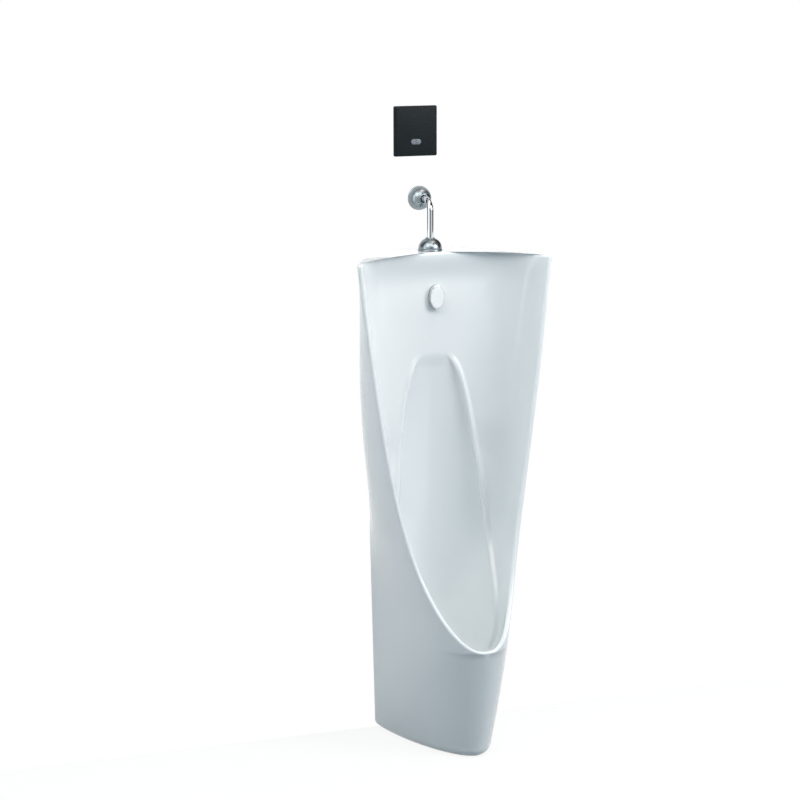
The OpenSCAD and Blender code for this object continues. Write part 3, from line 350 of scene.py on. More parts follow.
def track(z, stations):
    """A smooth curve through (height, value) stations that never overshoots them."""
    zs = [p[0] for p in stations]
    vs = [p[1] for p in stations]
    if z <= zs[0]:
        return vs[0]
    if z >= zs[-1]:
        return vs[-1]
    i = max(k for k in range(len(zs) - 1) if z >= zs[k])

    def slope(k):
        if k == 0 or k == len(zs) - 1:
            return 0
        d1 = (vs[k] - vs[k - 1]) / (zs[k] - zs[k - 1])
        d2 = (vs[k + 1] - vs[k]) / (zs[k + 1] - zs[k])
        return 0 if d1 * d2 <= 0 else 2 * d1 * d2 / (d1 + d2)

    h = zs[i + 1] - zs[i]
    t = (z - zs[i]) / h
    return ((2 * t**3 - 3 * t * t + 1) * vs[i] + (t**3 - 2 * t * t + t) * h * slope(i)
            + (3 * t * t - 2 * t**3) * vs[i + 1] + (t**3 - t * t) * h * slope(i + 1))


# %% [markdown]
# The outside first. At each height the skin starts straight at the wall, swells out towards the
# sides and closes in front. Above the lip it stops at the rim, and the rim itself runs down in
# one long line from the upper corners to the lip. Powers of a circle's formula, as in a
# superellipse, make such shapes fuller or flatter with one number each.

# %% The rim seen from the front and from the side
RIM_LEAN = 22                     # how far the rim comes forward on its way down, before the lip
HIP_W = FOOT_WIDTH / 2 + 11       # half width at the wall, at its widest
NECK_W = 55                       # half width at the wall, at the top
HIP_Z = LIP_Z + 200


def along(z):
    """0 at the lip and 1 at the top."""
    return max(0.0, (z - LIP_Z) / (TOP_Z - LIP_Z))


def rim_x(q):
    """Half width of the rim at the share q of the way up."""
    return BODY_WIDTH / 2 * q**0.4


def rim_s(q):
    """Distance of the rim from the wall: an even slope, and a quick reach forward at the lip."""
    return EAR_S + RIM_LEAN * (1 - q) + (BODY_DEPTH - EAR_S - RIM_LEAN) * (1 - q)**6


# %% The outer skin
def wall_w(z):
    """Half width of the flat back."""
    if z < HIP_Z:
        return mix(FOOT_WIDTH / 2, HIP_W, z / HIP_Z)
    return mix(HIP_W, NECK_W, ease((z - LIP_Z - 240) / (BODY_HEIGHT - LIP_Z - 240)))


def side_w(z):
    """Half width that the sides swell to."""
    swell = 1.05 + 0.022 * ease((z - 430) / 90) * ease((BODY_HEIGHT + 20 - z) / 90)
    return ((FOOT_WIDTH / 2 + 6)**8 + (swell * rim_x(along(z)))**8)**(1 / 8)


def skin_power(z):
    """2 would make an ellipse, less makes a slimmer nose and more a fuller one."""
    return mix(1.35, 3.3, min(1, z / LIP_Z))


def end_s(z):
    """Where the skin ends: at the nose below the lip, at the rim above it."""
    return mix(FOOT_DEPTH, BODY_DEPTH, z / LIP_Z) if z <= LIP_Z else rim_s(along(z))


def virtual_s(z):
    """Where the curve would close in front if the rim didn't cut it off."""
    if z <= LIP_Z:
        return end_s(z)
    q = along(z)
    return rim_s(q) / (1 - (rim_x(q) / side_w(z))**2)**(1 / skin_power(z))


def raw_skin(s, z):
    """Point (x, s) of the outer skin, which widens from the flat back as it leaves the wall."""
    v = np.clip(s / end_s(z), 0, 1)
    hurry = mix(3, 1.15, ease((z - 600) / (BODY_HEIGHT - 600)))
    half = mix(wall_w(z), side_w(z), 1 - (1 - v)**hurry)
    return np.array([half * math.sqrt(max(0, 1 - min(1, s / virtual_s(z))**skin_power(z))), s])


# %% Smoothing and directions
def skin_at(s, z):
    """Point (x, s) of the outer skin; the bend at lip height is averaged out."""
    soft = ease((335 - s) / 50) * ease((80 - abs(z - LIP_Z)) / 50)
    p = raw_skin(s, z)
    if soft == 0:
        return p
    return mix(p, sum(raw_skin(s, z + d) for d in (-32, -16, 0, 16, 32)) / 5, soft)


def unit(v):
    return v / np.linalg.norm(v)


def skin_dir(s, z):
    """Outward direction of the skin."""
    d = unit(skin_at(s + 0.5, z) - skin_at(s - 0.5, z))
    return np.array([d[1], -d[0]])


BACK_STEPS, ARC_STEPS, BEAD_STEPS, WING_STEPS = 8, 22, 24, 26
SIDE_STEPS = ARC_STEPS + BEAD_STEPS + WING_STEPS - BACK_STEPS


def skin_columns(z):
    """Half a section from the middle of the back to the rim or the nose."""
    e = end_s(z)
    points = [np.array([wall_w(z) * i / BACK_STEPS, 0.0]) for i in range(BACK_STEPS + 1)]
    points += [skin_at(e * (1 - (1 - k / SIDE_STEPS)**1.9), z) for k in range(1, SIDE_STEPS + 1)]
    if z <= LIP_Z:
        points[-1] = np.array([0.0, e])
    return points


# %% [markdown]
# Then the inside. The upper bowl is one smooth curve from the middle out to the rim, and a long
# round recess is sunk into it. Lower down, the wall turns into an even offset of the outside. The
# edge of the recess carries a raised bead, a little under a centimetre high, which catches the
# light on one side and lies in shade on the other. A few stations per line, read from the
# photograph and joined by a curve, are enough for shapes this calm.

# %% Stations of the recess
def arch_x(z):
    """Half width of the recess."""
    if z > 430:
        return mix(16.2, 16.8, ease((560 - z) / 130)) * max(0.4, min(410, 840 - z))**0.316
    return track(z, [(162, 40), (174, 66), (190, 82), (205, 87), (240, 87.5), (260, 88), (280, 89.4),
                     (300, 91.7), (340, 98.9), (380, 106.2), (430, 112.4)])


def arch_s(z):
    """Distance of its edge from the wall, in the lower bowl."""
    return track(z, [(162, 165), (190, 171), (205, 181), (220, 195), (240, 206), (260, 212),
                     (280, 211), (300, 206), (320, 198), (340, 185), (380, 154.5), (400, 140),
                     (420, 127), (440, 118.5), (478, 113), (546, 108), (586, 103), (631, 93),
                     (674, 88), (750, 84), (850, 84), (955, 84), (1000, 86), (1048, DECK_DEPTH)])


def back_s(z):
    """Distance of its deepest line from the wall."""
    return track(z, [(162, 128), (172, 114), (200, 90), (240, 66), (300, 50), (400, 44), (550, 42.5),
                     (620, 46), (690, 53), (750, 61.5), (800, 70), (850, 79), (880, 82.5),
                     (982, 85.4), (998, 88), (1048, DECK_DEPTH)])


def wall_s(z):
    """Where the smooth upper wall would cross the middle if there were no recess."""
    return track(z, [(640, 71.5), (700, 72.5), (750, 74.5), (800, 77), (850, 80), (900, 83),
                     (950, 85.4), (982, 85.4), (998, 88), (1015, 93.5), (1031, 98.4),
                     (1048, DECK_DEPTH)])


def front_s(z):
    """Distance of the bowl's front from the wall, below the lip."""
    return track(z, [(162, 205), (170, 250), (185, 290), (205, 322), (LIP_Z, BODY_DEPTH - RIM_THICK)])


def bead_h(z):
    """Height of the bead, which fades out near the waste and at the head of the recess."""
    return mix(8, 6.6, ease((z - 450) / 200)) * ease((z - 185) / 30) * (1 - ease((z - 792) / 42))


# %% [markdown]
# Two kinds of curve fill the space between the stations and the rim. A Bezier curve runs from one
# point to another with a chosen heading at each end, and an offset keeps the wall's thickness even.
# The section at a height blends from one to the other, so no step shows between the upper and
# the lower bowl.

# %% Curves of the bowl
def bezier(a, b, c, d, t):
    """Point at the share t of a curve from a to d that heads for b and comes from c."""
    return (1 - t)**3 * a + 3 * t * (1 - t)**2 * b + 3 * t * t * (1 - t) * c + t**3 * d


def shell(g, e, z, t):
    """Inward offset of the outer skin, with its ends pulled onto g and e."""
    low = z <= LIP_Z
    s1 = end_s(z)
    k = g[1] + (s1 - g[1]) * (1 - (1 - t)**1.6)
    wa, wb = skin_at(g[1], z)[0] - g[0], (s1 - e[1] if low else RIM_THICK)
    a = skin_at(g[1], z) - skin_dir(g[1], z) * wa
    n1 = np.array([0.0, 1.0]) if low else skin_dir(s1 - 0.5, z)
    b = (np.array([0.0, s1]) if low else skin_at(s1, z)) - n1 * wb
    n = n1 if k > s1 - 0.5 else skin_dir(k, z)
    p = np.array([0.0, s1]) if k > s1 - 0.01 and low else skin_at(k, z)
    return p - n * mix(wa, wb, t) + (1 - t) * (g - a) + t * (e - b)


def section(z, e, turn_in):
    """Half the bowl at one height as two rows of points that meet at the edge of the recess."""
    low = ease((700 - z) / 140)
    heading = np.array([math.cos(math.radians(turn_in)), math.sin(math.radians(turn_in))])
    # The upper bowl is one curve from the middle to the rim.
    start = np.array([0.0, wall_s(z)])
    reach = 0.4 * np.linalg.norm(e - start)
    handles = (start, start + np.array([reach, 0]), e - reach * heading, e)
    old = edge = np.array([arch_x(z), arch_s(z)])
    if low < 1:
        ts = np.linspace(0, 1, 400)
        share = float(np.interp(arch_x(z), [bezier(*handles, t)[0] for t in ts], ts))
        edge = mix(bezier(*handles, share), old, low)
    # The lower bowl leaves the recess with a heading of its own and then follows the skin.
    eta = math.radians(mix(2, 90, ease((650 - z) / 320)))
    pull = 0.4 * np.linalg.norm(e - old)
    offset = ease((z - 190) / 30) * ease((470 - z) / 90)
    wing = []
    for t in np.linspace(0, 1, 161):
        p = edge if low == 1 else bezier(*handles, mix(share, 1, t))
        if low > 0:
            q = bezier(old, old + pull * np.array([math.cos(eta), math.sin(eta)]), e - pull * heading, e, t)
            q = mix(q, shell(old, e, z, t), offset) if offset > 0 else q
            p = mix(p, q, low)
        wing.append(p)
    # The recess is half a superellipse that turns into the upper curve at its head.
    b = back_s(z)
    fullness = 2 / mix(1.6, 2.2, ease((450 - z) / 150))
    crown = ease((z - 800) / 40)
    recess = []
    for t in np.linspace(0, 1, 241):
        a = t * math.pi / 2
        sunk = (edge[1] - b) * max(0.0, math.cos(a))**fullness
        p = np.array([edge[0] * math.sin(a)**fullness, edge[1] - sunk])
        recess.append(mix(p, bezier(*handles, share * math.sin(a)), crown) if crown > 0 else p)
    return recess, wing


# %% [markdown]
# Each height is walked along its length, so that points can be set close together across the
# bead and further apart elsewhere. The corner is rounded first, then the bead is raised on it.

# %% Columns of the bowl
BEAD_REACH, BEAD_TOP, CORNER = 13.0, 3.2, 5.0  # half width of the bead, of its top and of the round


def bowl_columns(z, e, turn_in):
    """Half the bowl at one height, from the middle of the recess to the rim at e."""
    recess, wing = section(z, e, turn_in)
    line = np.array(recess + wing[1:])
    run = np.concatenate([[0], np.cumsum(np.linalg.norm(np.diff(line, axis=0), axis=1))])
    corner = run[len(recess) - 1]
    small = min(1.0, 0.45 * corner / BEAD_REACH)
    reach, round_off = BEAD_REACH * small, CORNER * small

    def on_line(at):
        return np.array([np.interp(at, run, line[:, 0]), np.interp(at, run, line[:, 1])])

    d = unit(on_line(corner + 2 * reach) - line[len(recess) - 1])
    rise = np.array([-d[1], d[0]])
    places = [(corner - reach) * k / ARC_STEPS for k in range(ARC_STEPS)]
    places += [corner + reach * (2 * k / BEAD_STEPS - 1) for k in range(BEAD_STEPS)]
    rest = run[-1] - corner - reach
    places += [corner + reach + rest * (k / WING_STEPS)**1.15 for k in range(WING_STEPS + 1)]
    points = []
    for at in places:
        off = at - corner
        if abs(off) < round_off:
            t = (off + round_off) / (2 * round_off)
            before, on, after = (on_line(corner + shift) for shift in (-round_off, 0, round_off))
            p = (1 - t)**2 * before + 2 * t * (1 - t) * on + t * t * after
        else:
            p = on_line(at)
        flank = 1 - ease((abs(off) - BEAD_TOP * small) / (reach - BEAD_TOP * small - 1.2 * small))
        points.append(p + rise * bead_h(z) * flank)
    return points


# %% [markdown]
# The top is not flat: it falls a little towards the two front corners. The same small lift is
# added to everything near the top. The rim is a round strip that follows the end of the skin, so
# it needs a frame at each height: where it is, which way is outwards, and which way is forward.

# %% Rim and top
# The rows stand closer together near the lip and round the head of the recess.
LOWER_ROWS, CROWN_LOW, CROWN_HIGH = 54, 780.0, 870.0
HEIGHTS = [mix(LIP_Z, CROWN_LOW, (k / LOWER_ROWS)**1.8) for k in range(LOWER_ROWS)]
HEIGHTS += list(np.arange(CROWN_LOW, CROWN_HIGH, 2.5)) + list(np.linspace(CROWN_HIGH, TOP_Z, 20))
LIFT_RUN = 150  # the lift fades in over this much of the top
print("heights above the lip:", len(HEIGHTS))


def lift(s, z):
    near_top = ease((z - TOP_Z + LIFT_RUN) / LIFT_RUN)
    return EAR_DROP * (1 - ease((s - LIFT_AT) / (EAR_S - LIFT_AT))) * near_top


def in_space(p, z):
    """(x, s) at a height as a point in space: the object looks along -Y."""
    return np.array([p[0], -p[1], z + lift(p[1], z)])


def skin_end(z):
    """Last point of the skin, its outward direction and the way the skin runs there."""
    p = skin_columns(z)
    d = unit(p[-1] - p[-2])
    return p[-1], (np.array([0.0, 1.0]) if z <= LIP_Z else np.array([d[1], -d[0]])), d


def rim_centre(z):
    p, n, _ = skin_end(z)
    return in_space(p - n * RIM_R, z)


def rim_frame(z):
    """Middle of the rim's outer round, its outward direction and its upward or forward one."""
    p, n, _ = skin_end(z)
    out = np.array([n[0], -n[1], 0.0])
    if z <= LIP_Z:
        return rim_centre(z), out, np.array([0.0, 0.0, 1.0])
    run = unit(rim_centre(min(TOP_Z, z + 2)) - rim_centre(max(LIP_Z + 0.01, z - 2)))
    return rim_centre(z), out, unit(np.cross(out, run))


def rim_point(f, angle, flat, up=0):
    """A point of the rim in frame f; flat is 0 for its outer round and 1 for its inner one."""
    b = f[2]
    if up:
        tilt = math.radians(up)
        b = unit(f[2] * math.cos(tilt) + np.array([0, 0, 1]) * math.sin(tilt))
    a = math.radians(angle)
    return f[0] - f[1] * RIM_FLAT * flat + RIM_R * (math.cos(a) * f[1] + math.sin(a) * b)


RIM_ANGLES = [0, 15, 30, 45, 60, 75, 90, 90, 105, 120, 135, 150, 165, 180]
RIM_FLATS = [0] * 7 + [1] * 7


def inner_end(z):
    """Where the rim's inner round ends and the bowl begins, as (x, s)."""
    p = rim_point(rim_frame(z), 180, 1)
    return np.array([p[0], -p[1]])


def turn_in(z):
    """Heading in degrees with which the bowl runs into the rim."""
    if z <= LIP_Z:
        return 180.0
    d = skin_end(z)[2]
    return math.degrees(math.atan2(d[1], d[0])) - 24 * float(ease((z - 400) / 300))


def flip(p):
    """The same point on the other side."""
    return np.array([-p[0], p[1], p[2]])


# %% [markdown]
# Now the grid. An operator makes a flat grid of the right count, and each of its points is moved
# onto the curves: around the ring for one direction and up the heights for the other. The parts
# share their edge points exactly, so welding them closes the shell.

# %% Lay grids onto the curves
def lay_grid(bm, rows):
    """Adds a grid and moves it onto rows of points given in millimetres."""
    across, up = len(rows[0]) - 1, len(rows) - 1
    made = bmesh.ops.create_grid(bm, x_segments=across, y_segments=up, size=0.5)["verts"]
    for v in made:
        i, j = round((v.co.x + 0.5) * across), round((v.co.y + 0.5) * up)
        v.co = Vector(rows[j][i]) * MM


def ring_at(z):
    """Right rim, round the outside, left rim and back through the bowl, as one closed loop."""
    skin = [in_space(p, z) for p in skin_columns(z)]
    bowl = [in_space(p, z) for p in bowl_columns(z, inner_end(z), turn_in(z))]
    strip = [rim_point(rim_frame(z), a, f) for a, f in zip(RIM_ANGLES[1:-1], RIM_FLATS[1:-1])]
    loop = skin[::-1] + [flip(p) for p in skin[1:]] + [flip(p) for p in strip]
    loop += [flip(p) for p in bowl[::-1]] + bowl[1:] + strip[::-1]
    return loop + loop[:1]


ceramic = bmesh.new()
lay_grid(ceramic, [ring_at(z) for z in HEIGHTS])
print("faces between the lip and the top:", len(ceramic.faces))


def columns_both_sides(half):
    return half[::-1] + [flip(p) for p in half[1:]]


# %% [markdown]
# The deck closes the top. Its rows go over the outer round, across the flat and down the inner
# round of a very wide rim. At the two front corners a few more rows swing the rim's own round
# until it lies in the same plane as the deck's, so that the two meet in one soft corner.

# %% The deck and the two front corners
def normals_of(points, first, last):
    """Side directions of a row of 2D points."""
    result = []
    for i in range(len(points)):
        d = unit(points[min(i + 1, len(points) - 1)] - points[max(i - 1, 0)])
        result.append(np.array([d[1], -d[0]]))
    result[0], result[-1] = first, last
    return result


BACKWARD = np.array([0.0, -1.0])
top_skin = skin_columns(TOP_Z)
top_bowl = bowl_columns(TOP_Z, inner_end(TOP_Z), turn_in(TOP_Z))
outward = skin_end(TOP_Z)[1]
skin_n = normals_of(top_skin, BACKWARD, outward)
for i in range(BACK_STEPS):
    skin_n[i] = BACKWARD
skin_n[BACK_STEPS] = unit(skin_n[BACK_STEPS + 1] + BACKWARD)
bowl_n = [-n for n in normals_of(top_bowl, BACKWARD, outward)]


def deck_row(angle, flat):
    """One row of the deck, from one front corner round to the other."""
    row = []
    # o and n are the outer and the inner point, no and ni the directions that they face.
    for o, n, no, ni in zip(top_skin, top_bowl, skin_n, bowl_n):
        c = mix(o - no * RIM_R, n - ni * RIM_R, flat)
        a = math.radians(angle)
        side = no * math.cos(a) if angle < 90 else (ni * -math.cos(a) if angle > 90 else 0 * no)
        if angle == 0:
            row.append(in_space(o, TOP_Z))
        elif angle == 180:
            row.append(in_space(n, TOP_Z))
        else:
            p = c + RIM_R * side
            row.append(np.array([p[0], -p[1], TOP_Z + RIM_R * math.sin(a) + lift(c[1], TOP_Z)]))
    return columns_both_sides(row)


deck_angles = RIM_ANGLES[:7] + [90, 90, 90] + RIM_ANGLES[7:]
deck_flats = [0] * 7 + [0.25, 0.5, 0.75] + [1] * 7
lay_grid(ceramic, [deck_row(a, f) for a, f in zip(deck_angles, deck_flats)])
top_frame = rim_frame(TOP_Z)
corner_rows = [[rim_point(top_frame, a, f, up) for a, f in zip(RIM_ANGLES, RIM_FLATS)]
               for up in range(0, 91, 10)]
lay_grid(ceramic, corner_rows)
lay_grid(ceramic, [[flip(p) for p in row] for row in corner_rows])
print("faces with the deck:", len(ceramic.faces))

# %% [markdown]
# Below the lip the shell is closed all round. It ends in a foot whose lower edge is rounded, and
# inside it the bowl narrows to the waste. Then the grids are welded into one shell, and one flat
# face closes the foot, because the cutters of the next step need a closed body.

# %% Foot
def foot_row(z):
    """The outside at a height below the lip; under FOOT_ROUND it is drawn in to a round edge."""
    zz = max(z, FOOT_ROUND)
    inset = 0 if z >= FOOT_ROUND else FOOT_ROUND - math.sqrt(FOOT_ROUND**2 - (FOOT_ROUND - z)**2)
    points = skin_columns(zz)
    row = []
    for i, p in enumerate(points):
        if i <= BACK_STEPS:
            k = np.array([(wall_w(zz) - inset) * i / BACK_STEPS, 0.0])
        else:
            d = unit(points[min(i + 1, len(points) - 1)] - points[i - 1])
            n = np.array([0.0, 1.0]) if i == len(points) - 1 else np.array([d[1], -d[0]])
            k = p - n * inset
        row.append(np.array([max(0, k[0]), -max(0, k[1]), z]))
    return columns_both_sides(row)


foot_heights = [0, 0.6, 1.8, 3.6, 6, 9, 12, 15, FOOT_ROUND, 26, 40, 56, 72, 90, 108, 126, 144, 162,
                180, 196, 210, 222]
rows = [foot_row(z) for z in foot_heights]
rows.append(columns_both_sides([in_space(p, LIP_Z) for p in skin_columns(LIP_Z)]))
lay_grid(ceramic, rows)

# %% Sump
def sump_row(z):
    """The inside at a height below the lip."""
    nose = inner_end(z) if z >= LIP_Z else np.array([0.0, front_s(z)])
    return columns_both_sides([in_space(p, z) for p in bowl_columns(z, nose, 180.0)])


sump_heights = [LIP_Z, 229, 222, 214, 206, 199, 193, 188, 183, 178, 174, 170, 167, 164.5, FLOOR_Z]
lay_grid(ceramic, [sump_row(z) for z in sump_heights])
middle = np.array([0.0, -DRAIN_S, FLOOR_Z - 2])  # the floor falls 2 mm to the waste
lay_grid(ceramic, [[mix(p, middle, k) for p in sump_row(FLOOR_Z)] for k in (0, 0.35, 0.7, 1)])

# %% Weld the shell and close the foot
SEAM = 1e-4  # metres: the grids meet within this
bmesh.ops.remove_doubles(ceramic, verts=ceramic.verts, dist=SEAM)
holes = [e for e in ceramic.edges if len(e.link_faces) == 1]
print("open edges at the foot:", len(holes))
bmesh.ops.contextual_create(ceramic, geom=holes)
bmesh.ops.dissolve_degenerate(ceramic, edges=ceramic.edges, dist=1e-6)
print("still open:", sum(1 for e in ceramic.edges if len(e.link_faces) != 2))
china = make_piece("china_body", ceramic, glaze, stands_for=("ceramic_body",), sharp=50)

# %% [markdown]
# The back of the real casting is hollow: an open chamber behind the bowl, a smaller one in front
# of a web that hangs on two hooks, and a chamber for the trap in the foot. They are cut out with
# simple solids. The cutters carry the bare clay, so that every cut face gets it.

# %% Cutting tools
def raise_faces(bm, depth):
    """Pushes the faces up by a depth in millimetres, which makes a solid of a flat outline."""
    pushed = bmesh.ops.extrude_face_region(bm, geom=bm.faces[:])["geom"]
    raised = [v for v in pushed if isinstance(v, bmesh.types.BMVert)]
    bmesh.ops.translate(bm, vec=(0, 0, depth * MM), verts=raised)


def prism(points, depth, matrix):
    """A flat outline in millimetres pushed along its normal."""
    bm = bmesh.new()
    bm.faces.new([bm.verts.new((x * MM, y * MM, 0)) for x, y in points])
    raise_faces(bm, depth)
    return place(bm, matrix)


def rod(radius, depth, matrix):
    """A round bar in millimetres that stands on the matrix's origin."""
    bm = bmesh.new()
    bmesh.ops.create_cone(bm, cap_ends=True, segments=96, radius1=radius * MM, radius2=radius * MM,
                          depth=depth * MM)
    bmesh.ops.translate(bm, vec=(0, 0, depth * MM / 2), verts=bm.verts)
    return place(bm, matrix)


def box(x0, x1, y0, y1, z0, z1):
    """A block between two corners, in millimetres."""
    return prism([(x0, y0), (x1, y0), (x1, y1), (x0, y1)], z1 - z0, Matrix.Translation((0, 0, z0 * MM)))


def at(x, y, z):
    """A shift in millimetres."""
    return Matrix.Translation((x * MM, y * MM, z * MM))


def carve(piece, tools, material=None):
    """Cuts each tool out of the piece with exact booleans."""
    for bm in tools:
        bmesh.ops.recalc_face_normals(bm, faces=bm.faces)
        mesh = bpy.data.meshes.new("cutter")
        bm.to_mesh(mesh)
        bm.free()
        if material:
            mesh.materials.append(material)
        cutter = bpy.data.objects.new("cutter", mesh)
        bpy.context.collection.objects.link(cutter)
        cut = piece.modifiers.new("cut", "BOOLEAN")
        cut.operation, cut.solver, cut.object = "DIFFERENCE", "EXACT", cutter
        cut.material_mode = "TRANSFER" if material else "INDEX"
        bpy.context.view_layer.update()
        carved = bpy.data.meshes.new_from_object(piece.evaluated_get(bpy.context.evaluated_depsgraph_get()))
        piece.modifiers.remove(cut)
        old, piece.data = piece.data, carved
        name = old.name
        bpy.data.meshes.remove(old)
        carved.name = name
        bpy.data.objects.remove(cutter)
        bpy.data.meshes.remove(mesh)
    print(piece.name, "carved:", len(tools), "cuts,", len(piece.data.polygons), "faces")


# %% [markdown]
# The chambers narrow upwards and towards the front, as the body does, so that an even wall is
# left. The list runs from the big chambers to the small bores. The seats of the waste and of the
# spreader can be seen from the front, so those two cuts carry the glaze.

# %% Chambers of the body
CHAMBER_W, CHAMBER_Z = FOOT_WIDTH / 2 - 34, FLOOR_Z - 20  # half width, and top of the trap's chamber
WEB_Z, DECK_THICK = BODY_HEIGHT - 106, 18.0
UPPER_W, UPPER_S = 38, 72.0  # half width and depth of the upper chamber
SPREAD_Z, SPREAD_S, FEED_R = BODY_HEIGHT - 95, 84.6, 9.5  # the spreader, and the bore of its feed
WASTE_R, PIPE_R, INLET_S = 26.0, 7.0, 60.0


def mirrored(points):
    """The right half of an outline, carried on round its left half."""
    return points + [(-x, y) for x, y in points[::-1]]


rear = mirrored([(CHAMBER_W, -1), (CHAMBER_W + 14, 200), (CHAMBER_W + 14, mix(LIP_Z, TOP_Z, 0.4)),
                 (66, mix(LIP_Z, TOP_Z, 0.64)), (46, WEB_Z)])
trap = mirrored([(CHAMBER_W, 1), (CHAMBER_W - 4, -68), (CHAMBER_W - 14, -127), (44, -182),
                 (28, -230), (12, -262)])
carve(china, [
    prism(rear, 31, at(0, 1, 0) @ OUT_OF_WALL),
    box(-UPPER_W, UPPER_W, -UPPER_S, -12.5, WEB_Z - 74, BODY_HEIGHT - DECK_THICK),
    box(-UPPER_W, UPPER_W, -3.5, 1, WEB_Z - 4, BODY_HEIGHT - DECK_THICK),
    prism(trap, CHAMBER_Z + 1, at(0, 0, -1)),
    rod(WASTE_R, 40, at(0, -DRAIN_S, CHAMBER_Z - 1)),
    rod(PIPE_R + 3, DECK_THICK + 2, at(0, -INLET_S, BODY_HEIGHT - DECK_THICK - 1)),
    rod(FEED_R, 40, at(0, 1 - UPPER_S, SPREAD_Z) @ OUT_OF_WALL),
], clay)
waste_seat = rod(WASTE_R + 11, 14, at(0, -DRAIN_S, FLOOR_Z - 1))
spreader_seat = rod(15, 30, at(0, -SPREAD_S, SPREAD_Z) @ OUT_OF_WALL)
carve(china, [waste_seat, spreader_seat], glaze)
china.data.shade_smooth()
china.data.set_sharp_from_angle(angle=math.radians(42))

# %% [markdown]
# ## Flush pipe
#
# A thin polished tube comes out of the wall, turns down in a tight bend and goes through the top
# of the body. It starts as one circle that is pushed up, turned through a quarter of a circle and
# pushed into the wall, and then gets its wall thickness.

# %% Flush pipe
INLET_Z, BEND_R, PIPE_WALL = BODY_HEIGHT + 107, 24.5, 1.0
PIPE_FOOT, PIPE_TAIL = 50, 30.0  # how far it reaches below the top, and into the wall
pipe = bmesh.new()
loop = bmesh.ops.create_circle(pipe, cap_ends=False, segments=96, radius=PIPE_R * MM)["verts"]
bmesh.ops.translate(pipe, vec=(0, -INLET_S * MM, (BODY_HEIGHT - PIPE_FOOT) * MM), verts=loop)


def push(bm, edges, vector):
    """Pushes an open row of edges out and returns its new end."""
    made = bmesh.ops.extrude_edge_only(bm, edges=edges)["geom"]
    moved = [g for g in made if isinstance(g, bmesh.types.BMVert)]
    bmesh.ops.translate(bm, vec=Vector(vector) * MM, verts=moved)
    return [g for g in made if isinstance(g, bmesh.types.BMEdge)]


end = push(pipe, pipe.edges[:], (0, 0, INLET_Z - BEND_R - BODY_HEIGHT + PIPE_FOOT))
end += list({v for e in end for v in e.verts})
turned = bmesh.ops.spin(pipe, geom=end, axis=(-1, 0, 0), steps=48, angle=math.pi / 2,
                        cent=(0, (BEND_R - INLET_S) * MM, (INLET_Z - BEND_R) * MM))["geom_last"]
turned = [g for g in turned if isinstance(g, bmesh.types.BMEdge)]
push(pipe, turned, (0, INLET_S - BEND_R + PIPE_TAIL, 0))
bmesh.ops.remove_doubles(pipe, verts=pipe.verts, dist=1e-6)
bmesh.ops.recalc_face_normals(pipe, faces=pipe.faces)
bmesh.ops.solidify(pipe, geom=pipe.faces[:], thickness=PIPE_WALL * MM)
make_piece("flush_pipe", pipe, chrome, stands_for=("inlet_bend",), sharp=60)

# %% [markdown]
# ## Covers
#
# Two bell shaped covers hide the holes that the pipe goes through. They are spun from sheet metal
# with a rolled band at the base, a fine groove above it and a small collar round the pipe. Half of
# a cut through the sheet is drawn as a line and turned round the axis, as on a lathe.

# %% Profile of a cover
COVER_R, COVER_H, BAND_H, SHEET = 26.0, 26.0, 4.6, 1.2  # BAND_H is the band with its groove


def cover(hug):
    """A bell shaped cover; hug is the middle of its rolled collar."""
    dome_r, collar = COVER_R - 0.9, 10.2
    top = math.degrees(math.acos(collar / dome_r))
    rise = (COVER_H - BAND_H) / math.sin(math.radians(top))

    def dome(inset, start, end, count):
        angles = [math.radians(a) for a in np.linspace(start, end, count)]
        return [((dome_r - inset) * math.cos(a), BAND_H + (rise - inset) * math.sin(a)) for a in angles]

    outside = [(COVER_R - 0.5, 0), (COVER_R, 0.5), (COVER_R, 2.6), (COVER_R - 0.3, 3.3),
               (COVER_R - 0.9, 3.7), (dome_r - 0.5, 4.1), (dome_r - 0.4, 4.5)]
    outside += dome(0, 1.5, top, 26) + arc(hug, COVER_H + 0.4, 1.5, -40, 200, 14)
    guide = [(PIPE_R + 0.1, 7), (PIPE_R + 0.1, 4), (COVER_R - 1.4, 4), (COVER_R - 1.4, 0)]
    return turn(outside + dome(SHEET, top - 2, 7, 16) + guide)


# %% [markdown]
# The covers have satin chrome on them. It is brushed before it is plated, so it mirrors the room
# as soft patches with a dark and a bright side. Its scratches are finer than a hair and would not
# show, so the grain is drawn 2 mm wide and almost flat.

# %% Bell and wall cover
satin = finish_material("satin_chrome", ("838F95", "929DA2"), (0.27, 0.31), 1.0,
                        patch_mm=9, grain_mm=2, bump_mm=0.0005)
bell = place(cover(PIPE_R + 1.7), at(0, -INLET_S, BODY_HEIGHT))
make_piece("bell_shell", bell, satin, "bell_cover", ("bell_cover",), sharp=35)
rose = place(cover(PIPE_R + 2.2), at(0, 0, INLET_Z) @ OUT_OF_WALL)
make_piece("wall_shell", rose, satin, "wall_cover", ("wall_cover",), sharp=35)

# %% [markdown]
# ## Spreader
#
# The water leaves through a thin gap behind an oval cap. The cap is chrome on its sides and white
# in front, and a short slot at its upper left shows the metal behind.

# %% Spreader
SPREADER = (33.0, 52.0)  # width and height


